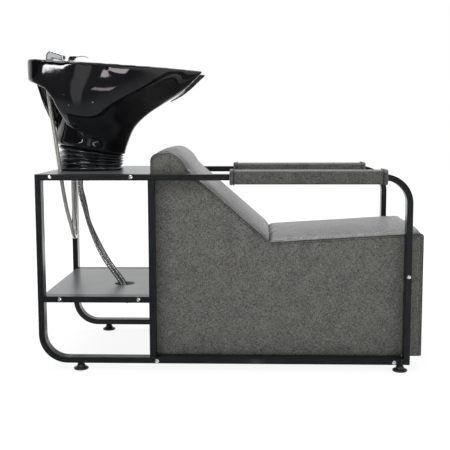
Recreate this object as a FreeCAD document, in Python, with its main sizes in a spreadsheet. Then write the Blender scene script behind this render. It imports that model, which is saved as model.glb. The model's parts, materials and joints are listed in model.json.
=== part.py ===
import FreeCAD, Part
import math
import os
from types import SimpleNamespace

import Sketcher

V = FreeCAD.Vector
Y_AXIS = V(0, 1, 0)
Z_AXIS = V(0, 0, 1)

# Driving sizes in millimetres and degrees. X runs from the basin to the seat front,
# and every distance along X is measured from the rear face of the rear posts.
SIZES = {
    # Steel tube frames
    "tube_face": 20, "tube_depth": 40, "tube_wall": 1.5, "tube_corner": 2.5,
    "inner_width": 504, "rail_top": 650, "foot_height": 25, "frame_length": 1221,
    "bend_radius": 95, "mid_post_place": 368, "shelf_top": 249,
    # Boards between the frames
    "board": 18, "board_gap": 0.5, "shelf_place": 12, "shelf_hole_radius": 36,
    "shelf_hole_place": 252, "shelf_hole_side": 55,
    # Frame screws and the threaded inserts that they run into
    "screw_radius": 4, "screw_head_radius": 6.5, "screw_head": 4, "socket_radius": 2.6,
    "socket_depth": 2.2, "screw_reach": 22, "insert_radius": 6.5, "insert_length": 24,
    "side_insert": 12, "thread_gap": 0.1, "hole_gap": 0.4,
    "top_screw_a": 49, "top_screw_b": 313, "shelf_screw_a": 72, "shelf_screw_b": 332,
    "base_screw_a": 391, "base_screw_inset": 95, "post_screw_inset": 54,
    "post_screw_height": 317,
    # Levelling feet
    "foot_radius": 24.5, "foot_base": 7, "foot_neck": 9, "foot_chamfer": 2, "stud_radius": 5,
    "stud_top": 17, "stud_base": 4, "running_gap": 0.05, "foot_insert_radius": 8,
    "rear_foot": 135, "front_foot_inset": 73,
    # Upholstered seat box
    "seat_place": 372, "seat_reach": 1265, "seat_floor": 43, "cover": 14, "frame_gap": 2,
    "carcass": 15, "crease_place": 763, "crease_height": 425, "slope_place": 492,
    "slope_height": 662.5, "hump_place": 440, "hump_height": 717, "hump_rear": 379,
    "hump_rear_height": 700, "seat_front_height": 455, "seat_front_corner": 12,
    "cushion": 62, "cushion_crown": 14, "cushion_draw": 3, "soft_gap": 0.3,
    # Padded sleeves on the arm rails
    "sleeve_start": 632, "sleeve_end": 1137, "sleeve_height": 46, "sleeve_width": 62,
    "sleeve_corner": 10, "sleeve_cover": 2.5, "sleeve_hem": 2.5, "hem_length": 9,
    # Basin, one glazed casting on a round column
    "basin_overhang": 46, "basin_wall": 11, "rim_rear_height": 1023, "rim_fall": 3.3,
    "rim_width": 20, "basin_half_width": 240, "basin_nose": 545,
    "column_place": 130, "column_radius": 124, "column_height": 725, "column_fall": 9.1,
    "column_floor": 12, "column_opening": 60, "column_step": 2, "column_length": 125,
    "column_skirt": 34, "deck_place": 92, "deck_wall": 18,
    "bowl_floor": 812, "bowl_foot_radius": 58, "drain_radius": 22, "neck_radius": 88,
    "neck_height": 892, "web_half_width": 45, "web_low": 760,
    "window_radius": 26, "window_height": 769, "slot_half_width": 17,
    # Tilt joint under the column
    "pivot_height": 690, "pin_radius": 6, "pin_head_radius": 10, "pin_head": 5, "ear": 5,
    "ear_half_width": 13, "ear_side": 70, "carrier": 4, "bracket_foot": 22,
    "bracket_length": 80, "bolt_radius": 4, "bolt_head_radius": 7, "bolt_head": 5,
    "bracket_screw": 14, "bracket_bolt_drop": 26, "carrier_radius": 95, "carrier_bolt_circle": 80,
    "pin_reach": 4, "pin_clip_radius": 8, "pin_clip": 2,
    # Rubber bellows
    "bellows_radius": 117, "bellows_valley": 108, "bellows_wall": 2.5,
    # Drain
    "drain_flange_radius": 36, "drain_flange": 3, "tail_radius": 16, "tail_wall": 2,
    "tail_end": 614, "tail_bead_radius": 18, "tail_bead_place": 26, "tail_bead": 4,
    "tail_hole_radius": 31, "tail_cup_radius": 30, "tail_cup": 8,
    "drain_neck_radius": 21.5, "drain_neck": 20, "drain_bore": 14, "strainer_radius": 28,
    "strainer_disc": 2, "strainer_cup": 10, "strainer_slot": 2.2, "strainer_circle": 9,
    # Tap and hand shower on the deck
    "mixer_place": 46, "mixer_side": 92, "mixer_radius": 22, "mixer_height": 16,
    "shank_radius": 15, "shank_length": 44, "tap_nut_radius": 21, "tap_nut": 9,
    "cap_radius": 13, "cap_height": 8, "lever_length": 75, "lever_rise": 18, "lever_width": 24,
    "knuckle_radius": 3,
    "holder_place": 8, "holder_side": 85, "holder_radius": 17, "holder_height": 8,
    "sleeve_radius": 14, "holder_tail": 34, "head_length": 60, "head_rise": 33.5, "head_width": 34,
    "head_round": 5, "neck_tube_radius": 9, "handset_stub": 42, "face_plate": 2, "face_width": 22,
    "face_height": 13, "nozzle_radius": 1.2, "nozzle": 1.2,
    # Hoses and their fittings
    "shower_hose_radius": 7, "supply_hose_radius": 6.5, "fitting_radius": 7.5,
    "fitting_drop": 28, "fitting_collar": 9, "fitting_collar_height": 5, "fitting_nut": 12,
    "hose_hole_radius": 12, "tail_hose_radius": 4.5, "tail_spread": 9.6,
    "supply_nut_radius": 8.5, "supply_nut": 17, "supply_bore": 6, "supply_bore_depth": 9,
    "sketch_start": 10,
}

doc = FreeCAD.newDocument("HairWashingBed")
sheet = doc.addObject("Spreadsheet::Sheet", "Sizes")
for row, (alias, number) in enumerate(SIZES.items(), start=1):
    sheet.set("A%d" % row, alias)
    sheet.set("B%d" % row, str(number))
    sheet.setAlias("B%d" % row, alias)
doc.recompute()
s = SimpleNamespace(**{alias: float(sheet.get(alias)) for alias in SIZES})

# The origin is under the middle of the whole length, on the floor.
left = (s.basin_overhang - s.seat_reach) / 2
front_screw_place = s.seat_reach - s.base_screw_inset
post_screw_place = s.seat_reach - s.post_screw_inset
inner = s.inner_width / 2
outer = inner + s.tube_depth
rail_low = s.rail_top - s.tube_face
base_rail_top = s.foot_height + s.tube_face
overrun = s.tube_depth
SIDES = (("near", -1), ("far", 1))
parts = {}


def sub_part(piece, label):
    """Give a finished piece the name of its file."""
    piece.Label = label
    parts[label] = piece
    return piece


def cell(words):
    """Write an expression on the sheet's cells, from their aliases and plain arithmetic."""
    return " ".join("Sizes." + word if word in SIZES else word for word in words.split())


def bind(piece, **sizes):
    for name, words in sizes.items():
        piece.setExpression(name, cell(words))
    return piece


def turn_to(axis):
    return FreeCAD.Rotation(Z_AXIS, axis)


def box(name, corner, length, width, height):
    piece = doc.addObject("Part::Box", name)
    bind(piece, Length=length, Width=width, Height=height)
    piece.Placement = FreeCAD.Placement(V(*corner), FreeCAD.Rotation())
    return piece


def cylinder(name, base, radius, height, axis=Z_AXIS):
    piece = doc.addObject("Part::Cylinder", name)
    bind(piece, Radius=radius, Height=height)
    piece.Placement = FreeCAD.Placement(V(*base), turn_to(axis))
    return piece


def group(name, pieces):
    """Join pieces in one object; pieces that stand apart stay separate solids."""
    joined = doc.addObject("Part::MultiFuse", name)
    joined.Shapes = pieces
    return joined


def cut(name, base, tools):
    tool = tools[0] if len(tools) == 1 else group(name + "_tools", tools)
    result = doc.addObject("Part::Cut", name)
    result.Base = base
    result.Tool = tool
    return result


def feature(name, shape):
    piece = doc.addObject("Part::Feature", name)
    piece.Shape = shape
    return piece


def origin_plane(body, role):
    return next(item for item in body.Origin.OriginFeatures if item.Role == role)


def closed_sketch(body, name, role, corners):
    """Draw a closed outline whose corners are (across, up) expressions on the sheet's cells."""
    sketch = body.newObject("Sketcher::SketchObject", name)
    sketch.AttachmentSupport = [(origin_plane(body, role), "")]
    sketch.MapMode = "FlatFace"
    count = len(corners)
    start = s.sketch_start
    turn = 2 * math.pi / count
    spread = [V(start * math.cos(turn * k), start * math.sin(turn * k), 0) for k in range(count)]
    for k in range(count):
        sketch.addGeometry(Part.LineSegment(spread[k], spread[(k + 1) % count]), False)
    for k in range(count):
        sketch.addConstraint(Sketcher.Constraint("Coincident", k, 2, (k + 1) % count, 1))
    for k, (across, up) in enumerate(corners):
        for kind, line, words in (("DistanceX", -2, across), ("DistanceY", -1, up)):
            if words == "0":
                sketch.addConstraint(Sketcher.Constraint("PointOnObject", k, 1, line))
            else:
                place = sketch.addConstraint(Sketcher.Constraint(kind, -1, 1, k, 1, start))
                sketch.setExpression("Constraints[%d]" % place, cell(words))
    return sketch


def turned(name, corners, base, axis=Z_AXIS):
    """A body turned about its own Z axis from (radius, height) corners."""
    body = doc.addObject("PartDesign::Body", name)
    sketch = closed_sketch(body, name + "_outline", "XZ_Plane", corners)
    revolution = body.newObject("PartDesign::Revolution", name + "_turn")
    revolution.Profile = sketch
    revolution.ReferenceAxis = (sketch, ["V_Axis"])
    revolution.Angle = 360
    body.Placement = FreeCAD.Placement(V(*base), turn_to(axis))
    return body


def tilted(point, centre, degrees):
    """Turn a point about the line along Y through centre; positive lowers the +X side."""
    turn = FreeCAD.Rotation(Y_AXIS, degrees)
    return centre + turn.multVec(point - centre)


def wire_of(points):
    return Part.makePolygon([*points, points[0]])


def ring_curve(points):
    """A smooth closed curve through points."""
    curve = Part.BSplineCurve()
    curve.interpolate(Points=points, PeriodicFlag=True)
    return Part.Wire([curve.toShape()])


# Side frames: each is two bent tubes, mitred and welded at the rear top and the front bottom.
def upper_outline(inset):
    """Top rail, arm bend and front post; inset moves every wall inwards."""
    end = left + s.frame_length
    bend = end - s.bend_radius
    bend_height = s.rail_top - s.bend_radius
    half = math.sqrt(0.5)
    outside = s.bend_radius - inset
    inside = s.bend_radius - s.tube_face + inset
    thin = s.tube_face - inset
    corner = [V(left + inset, 0, s.rail_top - inset), V(bend, 0, s.rail_top - inset)]
    post = [V(end - inset, 0, bend_height), V(end - inset, 0, s.foot_height + inset)]
    back = [V(end - thin, 0, s.foot_height + thin), V(end - thin, 0, bend_height)]
    rail = [V(bend, 0, s.rail_top - thin), V(left + thin, 0, s.rail_top - thin)]
    out_middle = V(bend + outside * half, 0, bend_height + outside * half)
    in_middle = V(bend + inside * half, 0, bend_height + inside * half)
    edges = [
        Part.LineSegment(corner[0], corner[1]), Part.Arc(corner[1], out_middle, post[0]),
        Part.LineSegment(post[0], post[1]), Part.LineSegment(post[1], back[0]),
        Part.LineSegment(back[0], back[1]), Part.Arc(back[1], in_middle, rail[0]),
        Part.LineSegment(rail[0], rail[1]), Part.LineSegment(rail[1], corner[0]),
    ]
    return Part.Face(Part.Wire([edge.toShape() for edge in edges]))


def lower_outline(inset):
    """Rear post, bottom bend and bottom rail."""
    end = left + s.frame_length
    bend = left + s.bend_radius
    bend_height = s.foot_height + s.bend_radius
    half = math.sqrt(0.5)
    outside = s.bend_radius - inset
    inside = s.bend_radius - s.tube_face + inset
    thin = s.tube_face - inset
    post = [V(left + inset, 0, s.rail_top - inset), V(left + inset, 0, bend_height)]
    rail = [V(bend, 0, s.foot_height + inset), V(end - inset, 0, s.foot_height + inset)]
    back = [V(end - thin, 0, s.foot_height + thin), V(bend, 0, s.foot_height + thin)]
    inner_post = [V(left + thin, 0, bend_height), V(left + thin, 0, s.rail_top - thin)]
    out_middle = V(bend - outside * half, 0, bend_height - outside * half)
    in_middle = V(bend - inside * half, 0, bend_height - inside * half)
    edges = [
        Part.LineSegment(post[0], post[1]), Part.Arc(post[1], out_middle, rail[0]),
        Part.LineSegment(rail[0], rail[1]), Part.LineSegment(rail[1], back[0]),
        Part.LineSegment(back[0], back[1]), Part.Arc(back[1], in_middle, inner_post[0]),
        Part.LineSegment(inner_post[0], inner_post[1]), Part.LineSegment(inner_post[1], post[0]),
    ]
    return Part.Face(Part.Wire([edge.toShape() for edge in edges]))


def bent_tube(outline, side):
    """Extrude an outline across the tube's depth, round its long corners and hollow it."""
    low = inner if side > 0 else -outer
    solid = outline(0).extrude(V(0, s.tube_depth, 0))
    solid.translate(V(0, low, 0))
    long_edges = [edge for edge in solid.Edges
                  if edge.BoundBox.YLength < s.tube_wall / 2 and not is_mitre(edge)]
    solid = solid.makeFillet(s.tube_corner, long_edges)
    hollow = outline(s.tube_wall).extrude(V(0, s.tube_depth - 2 * s.tube_wall, 0))
    hollow.translate(V(0, low + s.tube_wall, 0))
    return solid.cut(hollow)


def is_mitre(edge):
    """A mitre's edge is straight and runs at 45 degrees to the rails."""
    size = edge.BoundBox
    straight = isinstance(edge.Curve, Part.Line)
    return straight and abs(size.XLength - size.ZLength) < s.tube_wall and size.XLength > s.tube_wall


screw_height_top = s.rail_top - s.board / 2
screw_height_shelf = s.shelf_top - s.board / 2
screw_height_base = s.foot_height + s.board / 2
BOARD_SCREWS = {
    "top": [(s.top_screw_a, screw_height_top), (s.top_screw_b, screw_height_top)],
    "shelf": [(s.shelf_screw_a, screw_height_shelf), (s.shelf_screw_b, screw_height_shelf)],
    "base": [(s.base_screw_a, screw_height_base), (front_screw_place, screw_height_base)],
    "post": [(post_screw_place, s.post_screw_height)],
}


def frame_holes(places, side):
    """Clearance holes for screws, right through both walls of a tube."""
    start = side * (outer + s.tube_wall)
    reach = s.tube_depth + 2 * s.tube_wall
    return [Part.makeCylinder(s.screw_radius + s.hole_gap, reach, V(left + place, start, height),
                              V(0, -side, 0)) for place, height in places]


foot_places = (("rear", s.rear_foot), ("front", s.seat_reach - s.front_foot_inset))


def foot_holes(side):
    """Holes in a bottom rail's lower wall for the feet's studs."""
    middle = side * (inner + s.tube_depth / 2)
    return [Part.makeCylinder(s.stud_radius + s.hole_gap, 3 * s.tube_wall,
                              V(left + place, middle, s.foot_height - s.tube_wall))
            for _, place in foot_places]


for word, side in SIDES:
    upper = bent_tube(upper_outline, side)
    upper = upper.cut(frame_holes(BOARD_SCREWS["top"] + BOARD_SCREWS["post"], side))
    sub_part(feature("upper_tube_" + word, upper), "frame_upper_tube_" + word)
    lower = bent_tube(lower_outline, side)
    lower = lower.cut(frame_holes(BOARD_SCREWS["base"], side) + foot_holes(side))
    sub_part(feature("lower_tube_" + word, lower), "frame_lower_tube_" + word)

    low = inner if side > 0 else -outer
    post_length = "rail_top - 2 * tube_face - foot_height"
    post = box("post_" + word, (left + s.mid_post_place, low, base_rail_top),
               "tube_face", "tube_depth", post_length)
    bore = box("post_bore_" + word,
               (left + s.mid_post_place + s.tube_wall, low + s.tube_wall, base_rail_top - overrun),
               "tube_face - 2 * tube_wall", "tube_depth - 2 * tube_wall",
               post_length + " + 2 * tube_depth")
    sub_part(cut("middle_post_body_" + word, post, [bore]), "middle_post_" + word)

    rail_length = "mid_post_place - tube_face"
    rail = box("rail_" + word, (left + s.tube_face, low, s.shelf_top - s.tube_face),
               rail_length, "tube_depth", "tube_face")
    bore = box("rail_bore_" + word,
               (left + s.tube_face - overrun, low + s.tube_wall,
                s.shelf_top - s.tube_face + s.tube_wall),
               rail_length + " + 2 * tube_depth", "tube_depth - 2 * tube_wall",
               "tube_face - 2 * tube_wall")
    holes = [cylinder("rail_hole_%s_%d" % (word, k),
                      (left + place, side * (outer + s.tube_wall), height),
                      "screw_radius + hole_gap", "tube_depth + 2 * tube_wall", V(0, -side, 0))
             for k, (place, height) in enumerate(BOARD_SCREWS["shelf"])]
    sub_part(cut("shelf_rail_body_" + word, rail, [bore, *holes]), "shelf_rail_" + word)


# Screws with button heads, and the inserts in the board edges.
all_screws = [place for places in BOARD_SCREWS.values() for place in places]
screws = []
for word, side in SIDES:
    for k, (place, height) in enumerate(all_screws):
        screws.append((word, side, k, left + place, height))


def frame_screw(word, side, k, place, height):
    name = "screw_%s_%d" % (word, k)
    out = V(0, side, 0)
    seat = (place, side * outer, height)
    head = turned(name + "_head", [
        ("0", "0"), ("screw_head_radius", "0"), ("screw_head_radius", "screw_head / 3"),
        ("screw_head_radius * 0.7", "screw_head * 0.86"), ("screw_head_radius * 0.4", "screw_head"),
        ("0", "screw_head")], seat, out)
    shank = cylinder(name + "_shank", seat, "screw_radius", "tube_depth + board_gap + screw_reach",
                     V(0, -side, 0))
    if (place, height) == (left + post_screw_place, s.post_screw_height):
        bind(shank, Height="tube_depth + frame_gap + cover + side_insert - running_gap")
    whole = group(name + "_whole", [head, shank])
    socket = doc.addObject("Part::Prism", name + "_socket")
    socket.Polygon = 6
    bind(socket, Circumradius="socket_radius", Height="socket_depth + screw_head")
    top = side * (outer + s.screw_head - s.socket_depth)
    socket.Placement = FreeCAD.Placement(V(place, top, height), turn_to(out))
    return cut(name, whole, [socket])


sub_part(group("all_screws", [frame_screw(*screw) for screw in screws]), "frame_screws")


def insert(name, base, length, axis):
    """A threaded sleeve: its bore is the screw's size and a named gap."""
    sleeve = cylinder(name + "_sleeve", base, "insert_radius", length, axis)
    bore = cylinder(name + "_bore", base, "screw_radius + thread_gap", length, axis)
    return cut(name, sleeve, [bore])


board_half = inner - s.board_gap
inserts = []
for word, side, k, place, height in screws:
    on_post = height == s.post_screw_height
    face = inner - s.frame_gap - s.cover if on_post else board_half
    length = "side_insert" if on_post else "insert_length"
    inserts.append(insert("insert_%s_%d" % (word, k), (place, side * face, height), length,
                          V(0, -side, 0)))
for word, side in SIDES:
    middle = side * (inner + s.tube_depth / 2)
    for end, place in foot_places:
        name = "bush_%s_%s" % (end, word)
        seat = (left + place, middle, s.foot_height + s.tube_wall)
        length = "tube_face - 3 * tube_wall"
        bush = cylinder(name + "_sleeve", seat, "foot_insert_radius", length)
        bore = cylinder(name + "_bore", seat, "stud_radius + running_gap", length)
        inserts.append(cut(name, bush, [bore]))
sub_part(group("all_inserts", inserts), "threaded_inserts")


def insert_pockets(key, name):
    """Pockets for the inserts in both long edges of a board."""
    pockets = []
    for word, side in SIDES:
        for k, (place, height) in enumerate(BOARD_SCREWS[key]):
            pockets.append(cylinder("%s_pocket_%s_%d" % (name, word, k),
                                    (left + place, side * board_half, height),
                                    "insert_radius", "insert_length", V(0, -side, 0)))
    return pockets


# Boards between the frames.
def board(name, start, end_words, top, pockets, holes):
    plank = box(name + "_plank", (left + start, -board_half, top - s.board), end_words,
                "inner_width - 2 * board_gap", "board")
    sub_part(cut(name + "_cut", plank, pockets + holes), name)


def plate_hole(name, place, side, radius, top):
    return cylinder(name, (left + place, side, top - s.board - s.tube_wall), radius,
                    "board + 2 * tube_wall")


FITTINGS = {"return": (62, 12), "hot": (77.5, 32), "cold": (82.5, 50)}
HOSE_HOLE = (38, -87.5)
top_holes = [
    plate_hole("tail_hole", s.column_place, 0, "tail_hole_radius", s.rail_top),
    plate_hole("hose_hole", HOSE_HOLE[0], HOSE_HOLE[1], "hose_hole_radius", s.rail_top),
]
for key, (place, across) in FITTINGS.items():
    top_holes.append(plate_hole("fitting_hole_" + key, place, across,
                                "fitting_radius", s.rail_top))
foot_in = s.ear_side - s.ear / 2
foot_middle = foot_in + (s.bracket_foot + s.ear / 2) / 2
bolt_step = s.bracket_length / 2 - s.bolt_head_radius - s.bolt_head / 5
# Three short screws hold each bracket's foot to the plate, and one bolt goes right through.
BRACKET_BOLTS = [(s.column_place + step * bolt_step, side * foot_middle, (step, side) == (-1, 1))
                 for step in (-1, 1) for side in (-1, 1)]
for k, (place, across, through) in enumerate(BRACKET_BOLTS):
    deep = "board + 2 * tube_wall" if through else "bracket_screw + tube_wall"
    top_holes.append(cylinder("bracket_hole_%d" % k,
                              (left + place, across, s.rail_top + s.tube_wall),
                              "bolt_radius + thread_gap", deep, V(0, 0, -1)))
board("top_plate", 0, "mid_post_place", s.rail_top, insert_pockets("top", "top"), top_holes)
board("shelf", s.shelf_place, "mid_post_place - shelf_place", s.shelf_top,
      insert_pockets("shelf", "shelf"),
      [plate_hole("shelf_opening", s.shelf_hole_place, -s.shelf_hole_side,
                  "shelf_hole_radius", s.shelf_top)])
board("base_board", s.seat_place, "frame_length - tube_face - seat_place",
      s.foot_height + s.board, insert_pockets("base", "base"), [])


# Levelling feet: a moulded pad on a threaded stud.
for word, side in SIDES:
    middle = side * (inner + s.tube_depth / 2)
    for end, place in foot_places:
        name = "%s_%s" % (end, word)
        at = (left + place, middle, 0)
        pad = turned("pad_" + name, [
            ("0", "0"), ("foot_radius - foot_chamfer", "0"), ("foot_radius", "foot_chamfer"),
            ("foot_radius", "foot_base - foot_chamfer"),
            ("foot_radius - foot_chamfer", "foot_base"),
            ("foot_neck + foot_base", "foot_base + foot_chamfer"),
            ("foot_neck", "foot_height - foot_chamfer"), ("foot_neck", "foot_height - running_gap"),
            ("stud_radius", "foot_height - running_gap"), ("stud_radius", "stud_base"),
            ("0", "stud_base")], at)
        sub_part(pad, "foot_pad_" + name)
        stud = turned("stud_" + name, [
            ("0", "stud_base"), ("stud_radius", "stud_base"),
            ("stud_radius", "foot_height + stud_top - foot_chamfer / 2"),
            ("stud_radius - foot_chamfer / 2", "foot_height + stud_top"),
            ("0", "foot_height + stud_top")], at)
        sub_part(stud, "foot_stud_" + name)


# Seat box. The side outline runs round the rear, the hump, the slope, the crease and the front.
cover_face = inner - s.frame_gap
board_face = cover_face - s.cover


rear_share = SimpleNamespace(along=0.6, up=0.25)
shoulder_share = 0.12
brow_share = SimpleNamespace(along=0.62, up=0.58)


def seat_outline(drop, draw, rise, across):
    """The outline on the plane at across, moved inwards by drop on top and by draw at the ends.
    Rise lifts its top, for the crown."""
    rear = left + s.seat_place + draw
    front = left + s.seat_reach - draw
    slope = math.atan2(s.slope_height - s.crease_height, s.crease_place - s.slope_place)
    lift_x = (rise - drop) * math.sin(slope)
    lift_z = (rise - drop) * math.cos(slope)
    crease_x = left + s.crease_place + (rise - drop) * math.tan(slope / 2)
    seat_low = s.crease_height + rise - drop
    seat_high = s.seat_front_height + rise - drop
    corner = s.seat_front_corner
    hump_top = s.hump_height + rise - drop
    hump_x = left + s.hump_place
    rear_top = s.hump_rear_height - drop + rise / 2
    slope_top = V(left + s.slope_place + lift_x, across, s.slope_height + lift_z)
    half = math.sqrt(0.5)
    points = SimpleNamespace(
        rear_low=V(rear, across, s.seat_floor), rear_high=V(rear, across, rear_top - s.cushion / 4),
        rear_round=V(rear + (s.hump_rear - s.seat_place) * rear_share.along, across,
                     rear_top + (hump_top - rear_top) * rear_share.up),
        shoulder=V(hump_x - s.cushion / 2, across,
                   hump_top - (hump_top - rear_top) * shoulder_share),
        hump=V(hump_x, across, hump_top),
        brow=V(hump_x + (slope_top.x - hump_x) * brow_share.along, across,
               slope_top.z + (hump_top - slope_top.z) * brow_share.up),
        slope_top=slope_top, crease=V(crease_x, across, seat_low),
        front_top=V(front - corner, across, seat_high),
        front_round=V(front - corner + corner * half, across, seat_high - corner + corner * half),
        front_high=V(front, across, seat_high - corner), front_low=V(front, across, s.seat_floor))
    return points


def seat_wire(drop, draw, rise, across):
    p = seat_outline(drop, draw, rise, across)
    edges = [
        Part.LineSegment(p.rear_low, p.rear_high),
        Part.Arc(p.rear_high, p.rear_round, p.shoulder),
        Part.Arc(p.shoulder, p.hump + V(-s.cushion / 5, 0, (p.shoulder.z - p.hump.z) / 5), p.hump),
        Part.Arc(p.hump, p.brow, p.slope_top),
        Part.LineSegment(p.slope_top, p.crease),
        Part.LineSegment(p.crease, p.front_top),
        Part.Arc(p.front_top, p.front_round, p.front_high),
        Part.LineSegment(p.front_high, p.front_low),
        Part.LineSegment(p.front_low, p.rear_low),
    ]
    return Part.Wire([edge.toShape() for edge in edges])


def seat_slab(drop, draw, low, high):
    """A flat slab of the seat outline between two places across the seat."""
    return Part.Face(seat_wire(drop, draw, 0, low)).extrude(V(0, high - low, 0))


def post_screw_hole(radius, side):
    start = V(left + post_screw_place, side * inner, s.post_screw_height)
    return Part.makeCylinder(radius, s.frame_gap + s.cover + s.carcass, start, V(0, -side, 0))


for word, side in SIDES:
    low, high = sorted((side * board_face, side * cover_face))
    cover = seat_slab(0, 0, low, high)
    edges = [edge for edge in cover.Edges
             if abs(edge.BoundBox.YMin - side * cover_face) < s.soft_gap
             and edge.BoundBox.YLength < s.soft_gap and edge.BoundBox.ZMax > s.seat_floor + s.cover]
    cover = cover.makeFillet(s.cover / 3, edges)
    cover = cover.cut(post_screw_hole(s.screw_radius + s.hole_gap, side))
    sub_part(feature("cover_" + word, cover), "side_cover_" + word)
    low, high = sorted((side * board_face, side * (board_face - s.carcass)))
    wall = seat_slab(s.cushion + s.soft_gap, s.cover + s.soft_gap, low, high)
    wall = wall.cut(post_screw_hole(s.insert_radius, side))
    sub_part(feature("side_board_" + word, wall), "side_board_" + word)

box_inner = board_face - s.carcass
box_rear = left + s.seat_place + s.cover + s.soft_gap
profile = seat_outline(s.cushion + s.soft_gap, s.cover + s.soft_gap, 0, 0)
slope_way = (profile.crease - profile.slope_top).normalize()
into_box = V(slope_way.z, 0, -slope_way.x)


def across_prism(points):
    """A board right across the box, from its outline in the X, Z plane."""
    outline = wire_of([V(x, -box_inner, z) for x, z in points])
    return Part.Face(outline).extrude(V(0, 2 * box_inner, 0))


back_low = profile.crease
back_high = profile.slope_top
back_points = [back_high, back_low, back_low + into_box * s.carcass,
               back_high + into_box * s.carcass]
sub_part(feature("back_support", across_prism([(p.x, p.z) for p in back_points])), "back_board")
seat_points = [(back_low.x, back_low.z), (profile.front_top.x, profile.front_top.z),
               (profile.front_top.x, profile.front_top.z - s.carcass),
               (back_low.x, back_low.z - s.carcass)]
seat_support = across_prism(seat_points).cut(parts["back_board"].Shape)
sub_part(feature("seat_support", seat_support), "seat_board")
front_height = profile.front_top.z - s.carcass - s.seat_floor
front_wall = Part.makeBox(s.carcass, 2 * box_inner, front_height,
                          V(profile.front_top.x - s.carcass, -box_inner, s.seat_floor))
sub_part(feature("front_wall", front_wall.cut(seat_support)), "front_board")
rear_height = profile.rear_high.z - s.seat_floor
sub_part(feature("rear_wall", Part.makeBox(
    s.carcass, 2 * box_inner, rear_height, V(box_rear, -box_inner, s.seat_floor))), "rear_board")

# Covers on the front and the rear, and the two cushions between the side covers.
soft_half = board_face - s.soft_gap


CROWN_SHARES = [(-1, 0), (-0.62, 0.82), (0, 1), (0.62, 0.82), (1, 0)]


def crowned_block():
    """The whole soft top: lofted across the seat, higher in the middle than at its sides."""
    wires = [seat_wire(0, 0, s.cushion_crown * crown - s.cushion_draw * (1 - crown),
                       soft_half * place) for place, crown in CROWN_SHARES]
    return Part.makeLoft(wires, True, False)


whole_top = crowned_block()
core = seat_slab(s.cushion, s.cover, -inner, inner)
shell = whole_top.cut(core)


def half_space(points):
    """A block across the whole seat that picks one piece out of the soft shell."""
    outline = wire_of([V(x, -inner, z) for x, z in points])
    return Part.Face(outline).extrude(V(0, s.inner_width, 0))


crease_top = seat_outline(0, 0, 0, 0).crease
crease_low = seat_outline(s.cushion, s.cover, 0, 0).crease
reach = s.seat_reach
drop_line = (crease_top - crease_low).normalize()
above = crease_top + drop_line * reach
below = crease_low - drop_line * s.cushion
front_edge = left + s.seat_reach - s.cover
rear_edge = left + s.seat_place + s.cover
front_split = s.seat_front_height - s.cushion
rear_split = s.hump_rear_height - s.cushion
back_zone = half_space([(left, rear_split), (below.x, rear_split), (below.x, below.z),
                        (above.x, above.z), (left, above.z)])
back_zone = back_zone.fuse(half_space([(below.x, below.z), (rear_edge, below.z),
                                       (rear_edge, rear_split), (below.x, rear_split)]))
gap = s.soft_gap
seat_zone = half_space([(below.x + gap, below.z), (above.x + gap, above.z),
                        (left + 2 * reach, above.z), (left + 2 * reach, front_split + gap),
                        (front_edge, front_split + gap), (front_edge, below.z)])
sub_part(feature("back_pad", shell.common(back_zone)), "back_cushion")
sub_part(feature("seat_pad", shell.common(seat_zone)), "seat_cushion")
front_zone = half_space([(front_edge, s.seat_floor), (left + 2 * reach, s.seat_floor),
                         (left + 2 * reach, front_split), (front_edge, front_split)])
sub_part(feature("front_pad", shell.common(front_zone)), "front_cover")
rear_zone = half_space([(left, s.seat_floor), (rear_edge, s.seat_floor),
                        (rear_edge, rear_split - gap), (left, rear_split - gap)])
sub_part(feature("rear_pad", shell.common(rear_zone)), "rear_cover")


# Padded sleeves round the arm rails: foam on the tube, and a sewn cover with hems.
def rounded_section(place, middle, grow):
    """A rounded rectangle across the rail at place, grown on every side."""
    half_y = s.sleeve_width / 2 + grow
    half_z = s.sleeve_height / 2 + grow
    radius = s.sleeve_corner + grow
    height = s.rail_top - s.tube_face / 2
    k = radius * (1 - math.sqrt(0.5))
    corners = []
    for y_sign, z_sign in ((1, 1), (-1, 1), (-1, -1), (1, -1)):
        flat = V(place, middle + y_sign * (half_y - radius), height + z_sign * half_z)
        bend = V(place, middle + y_sign * (half_y - k), height + z_sign * (half_z - k))
        upright = V(place, middle + y_sign * half_y, height + z_sign * (half_z - radius))
        corners.append((flat, bend, upright) if y_sign * z_sign < 0 else (upright, bend, flat))
    edges = []
    for index, (first, bend, last) in enumerate(corners):
        following = corners[(index + 1) % len(corners)][0]
        edges.append(Part.Arc(first, bend, last))
        edges.append(Part.LineSegment(last, following))
    return Part.Wire([edge.toShape() for edge in edges])


def sleeve_loft(middle, grow):
    start = left + s.sleeve_start
    end = left + s.sleeve_end
    hem = s.hem_length
    stations = [(start, s.sleeve_hem), (start + hem, s.sleeve_hem), (start + hem * 1.3, 0),
                (end - hem * 1.3, 0), (end - hem, s.sleeve_hem), (end, s.sleeve_hem)]
    wires = [rounded_section(place, middle, grow + change) for place, change in stations]
    return Part.makeLoft(wires, True, True)


foams = []
for word, side in SIDES:
    middle = side * (inner + s.tube_depth / 2)
    length = s.sleeve_end - s.sleeve_start
    bore = Part.makeBox(length + 2 * overrun, s.tube_depth + 2 * s.soft_gap,
                        s.tube_face + 2 * s.soft_gap,
                        V(left + s.sleeve_start - overrun, middle - s.tube_depth / 2 - s.soft_gap,
                          rail_low - s.soft_gap))
    outside = sleeve_loft(middle, 0)
    inside = sleeve_loft(middle, -s.sleeve_cover)
    sub_part(feature("sleeve_" + word, outside.cut(inside)), "arm_cover_" + word)
    tube = parts["frame_upper_tube_" + word].Shape
    foams.append(feature("foam_" + word, inside.cut(bore).cut(tube)))

sub_part(group("foam_pair", foams), "arm_foam")


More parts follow.
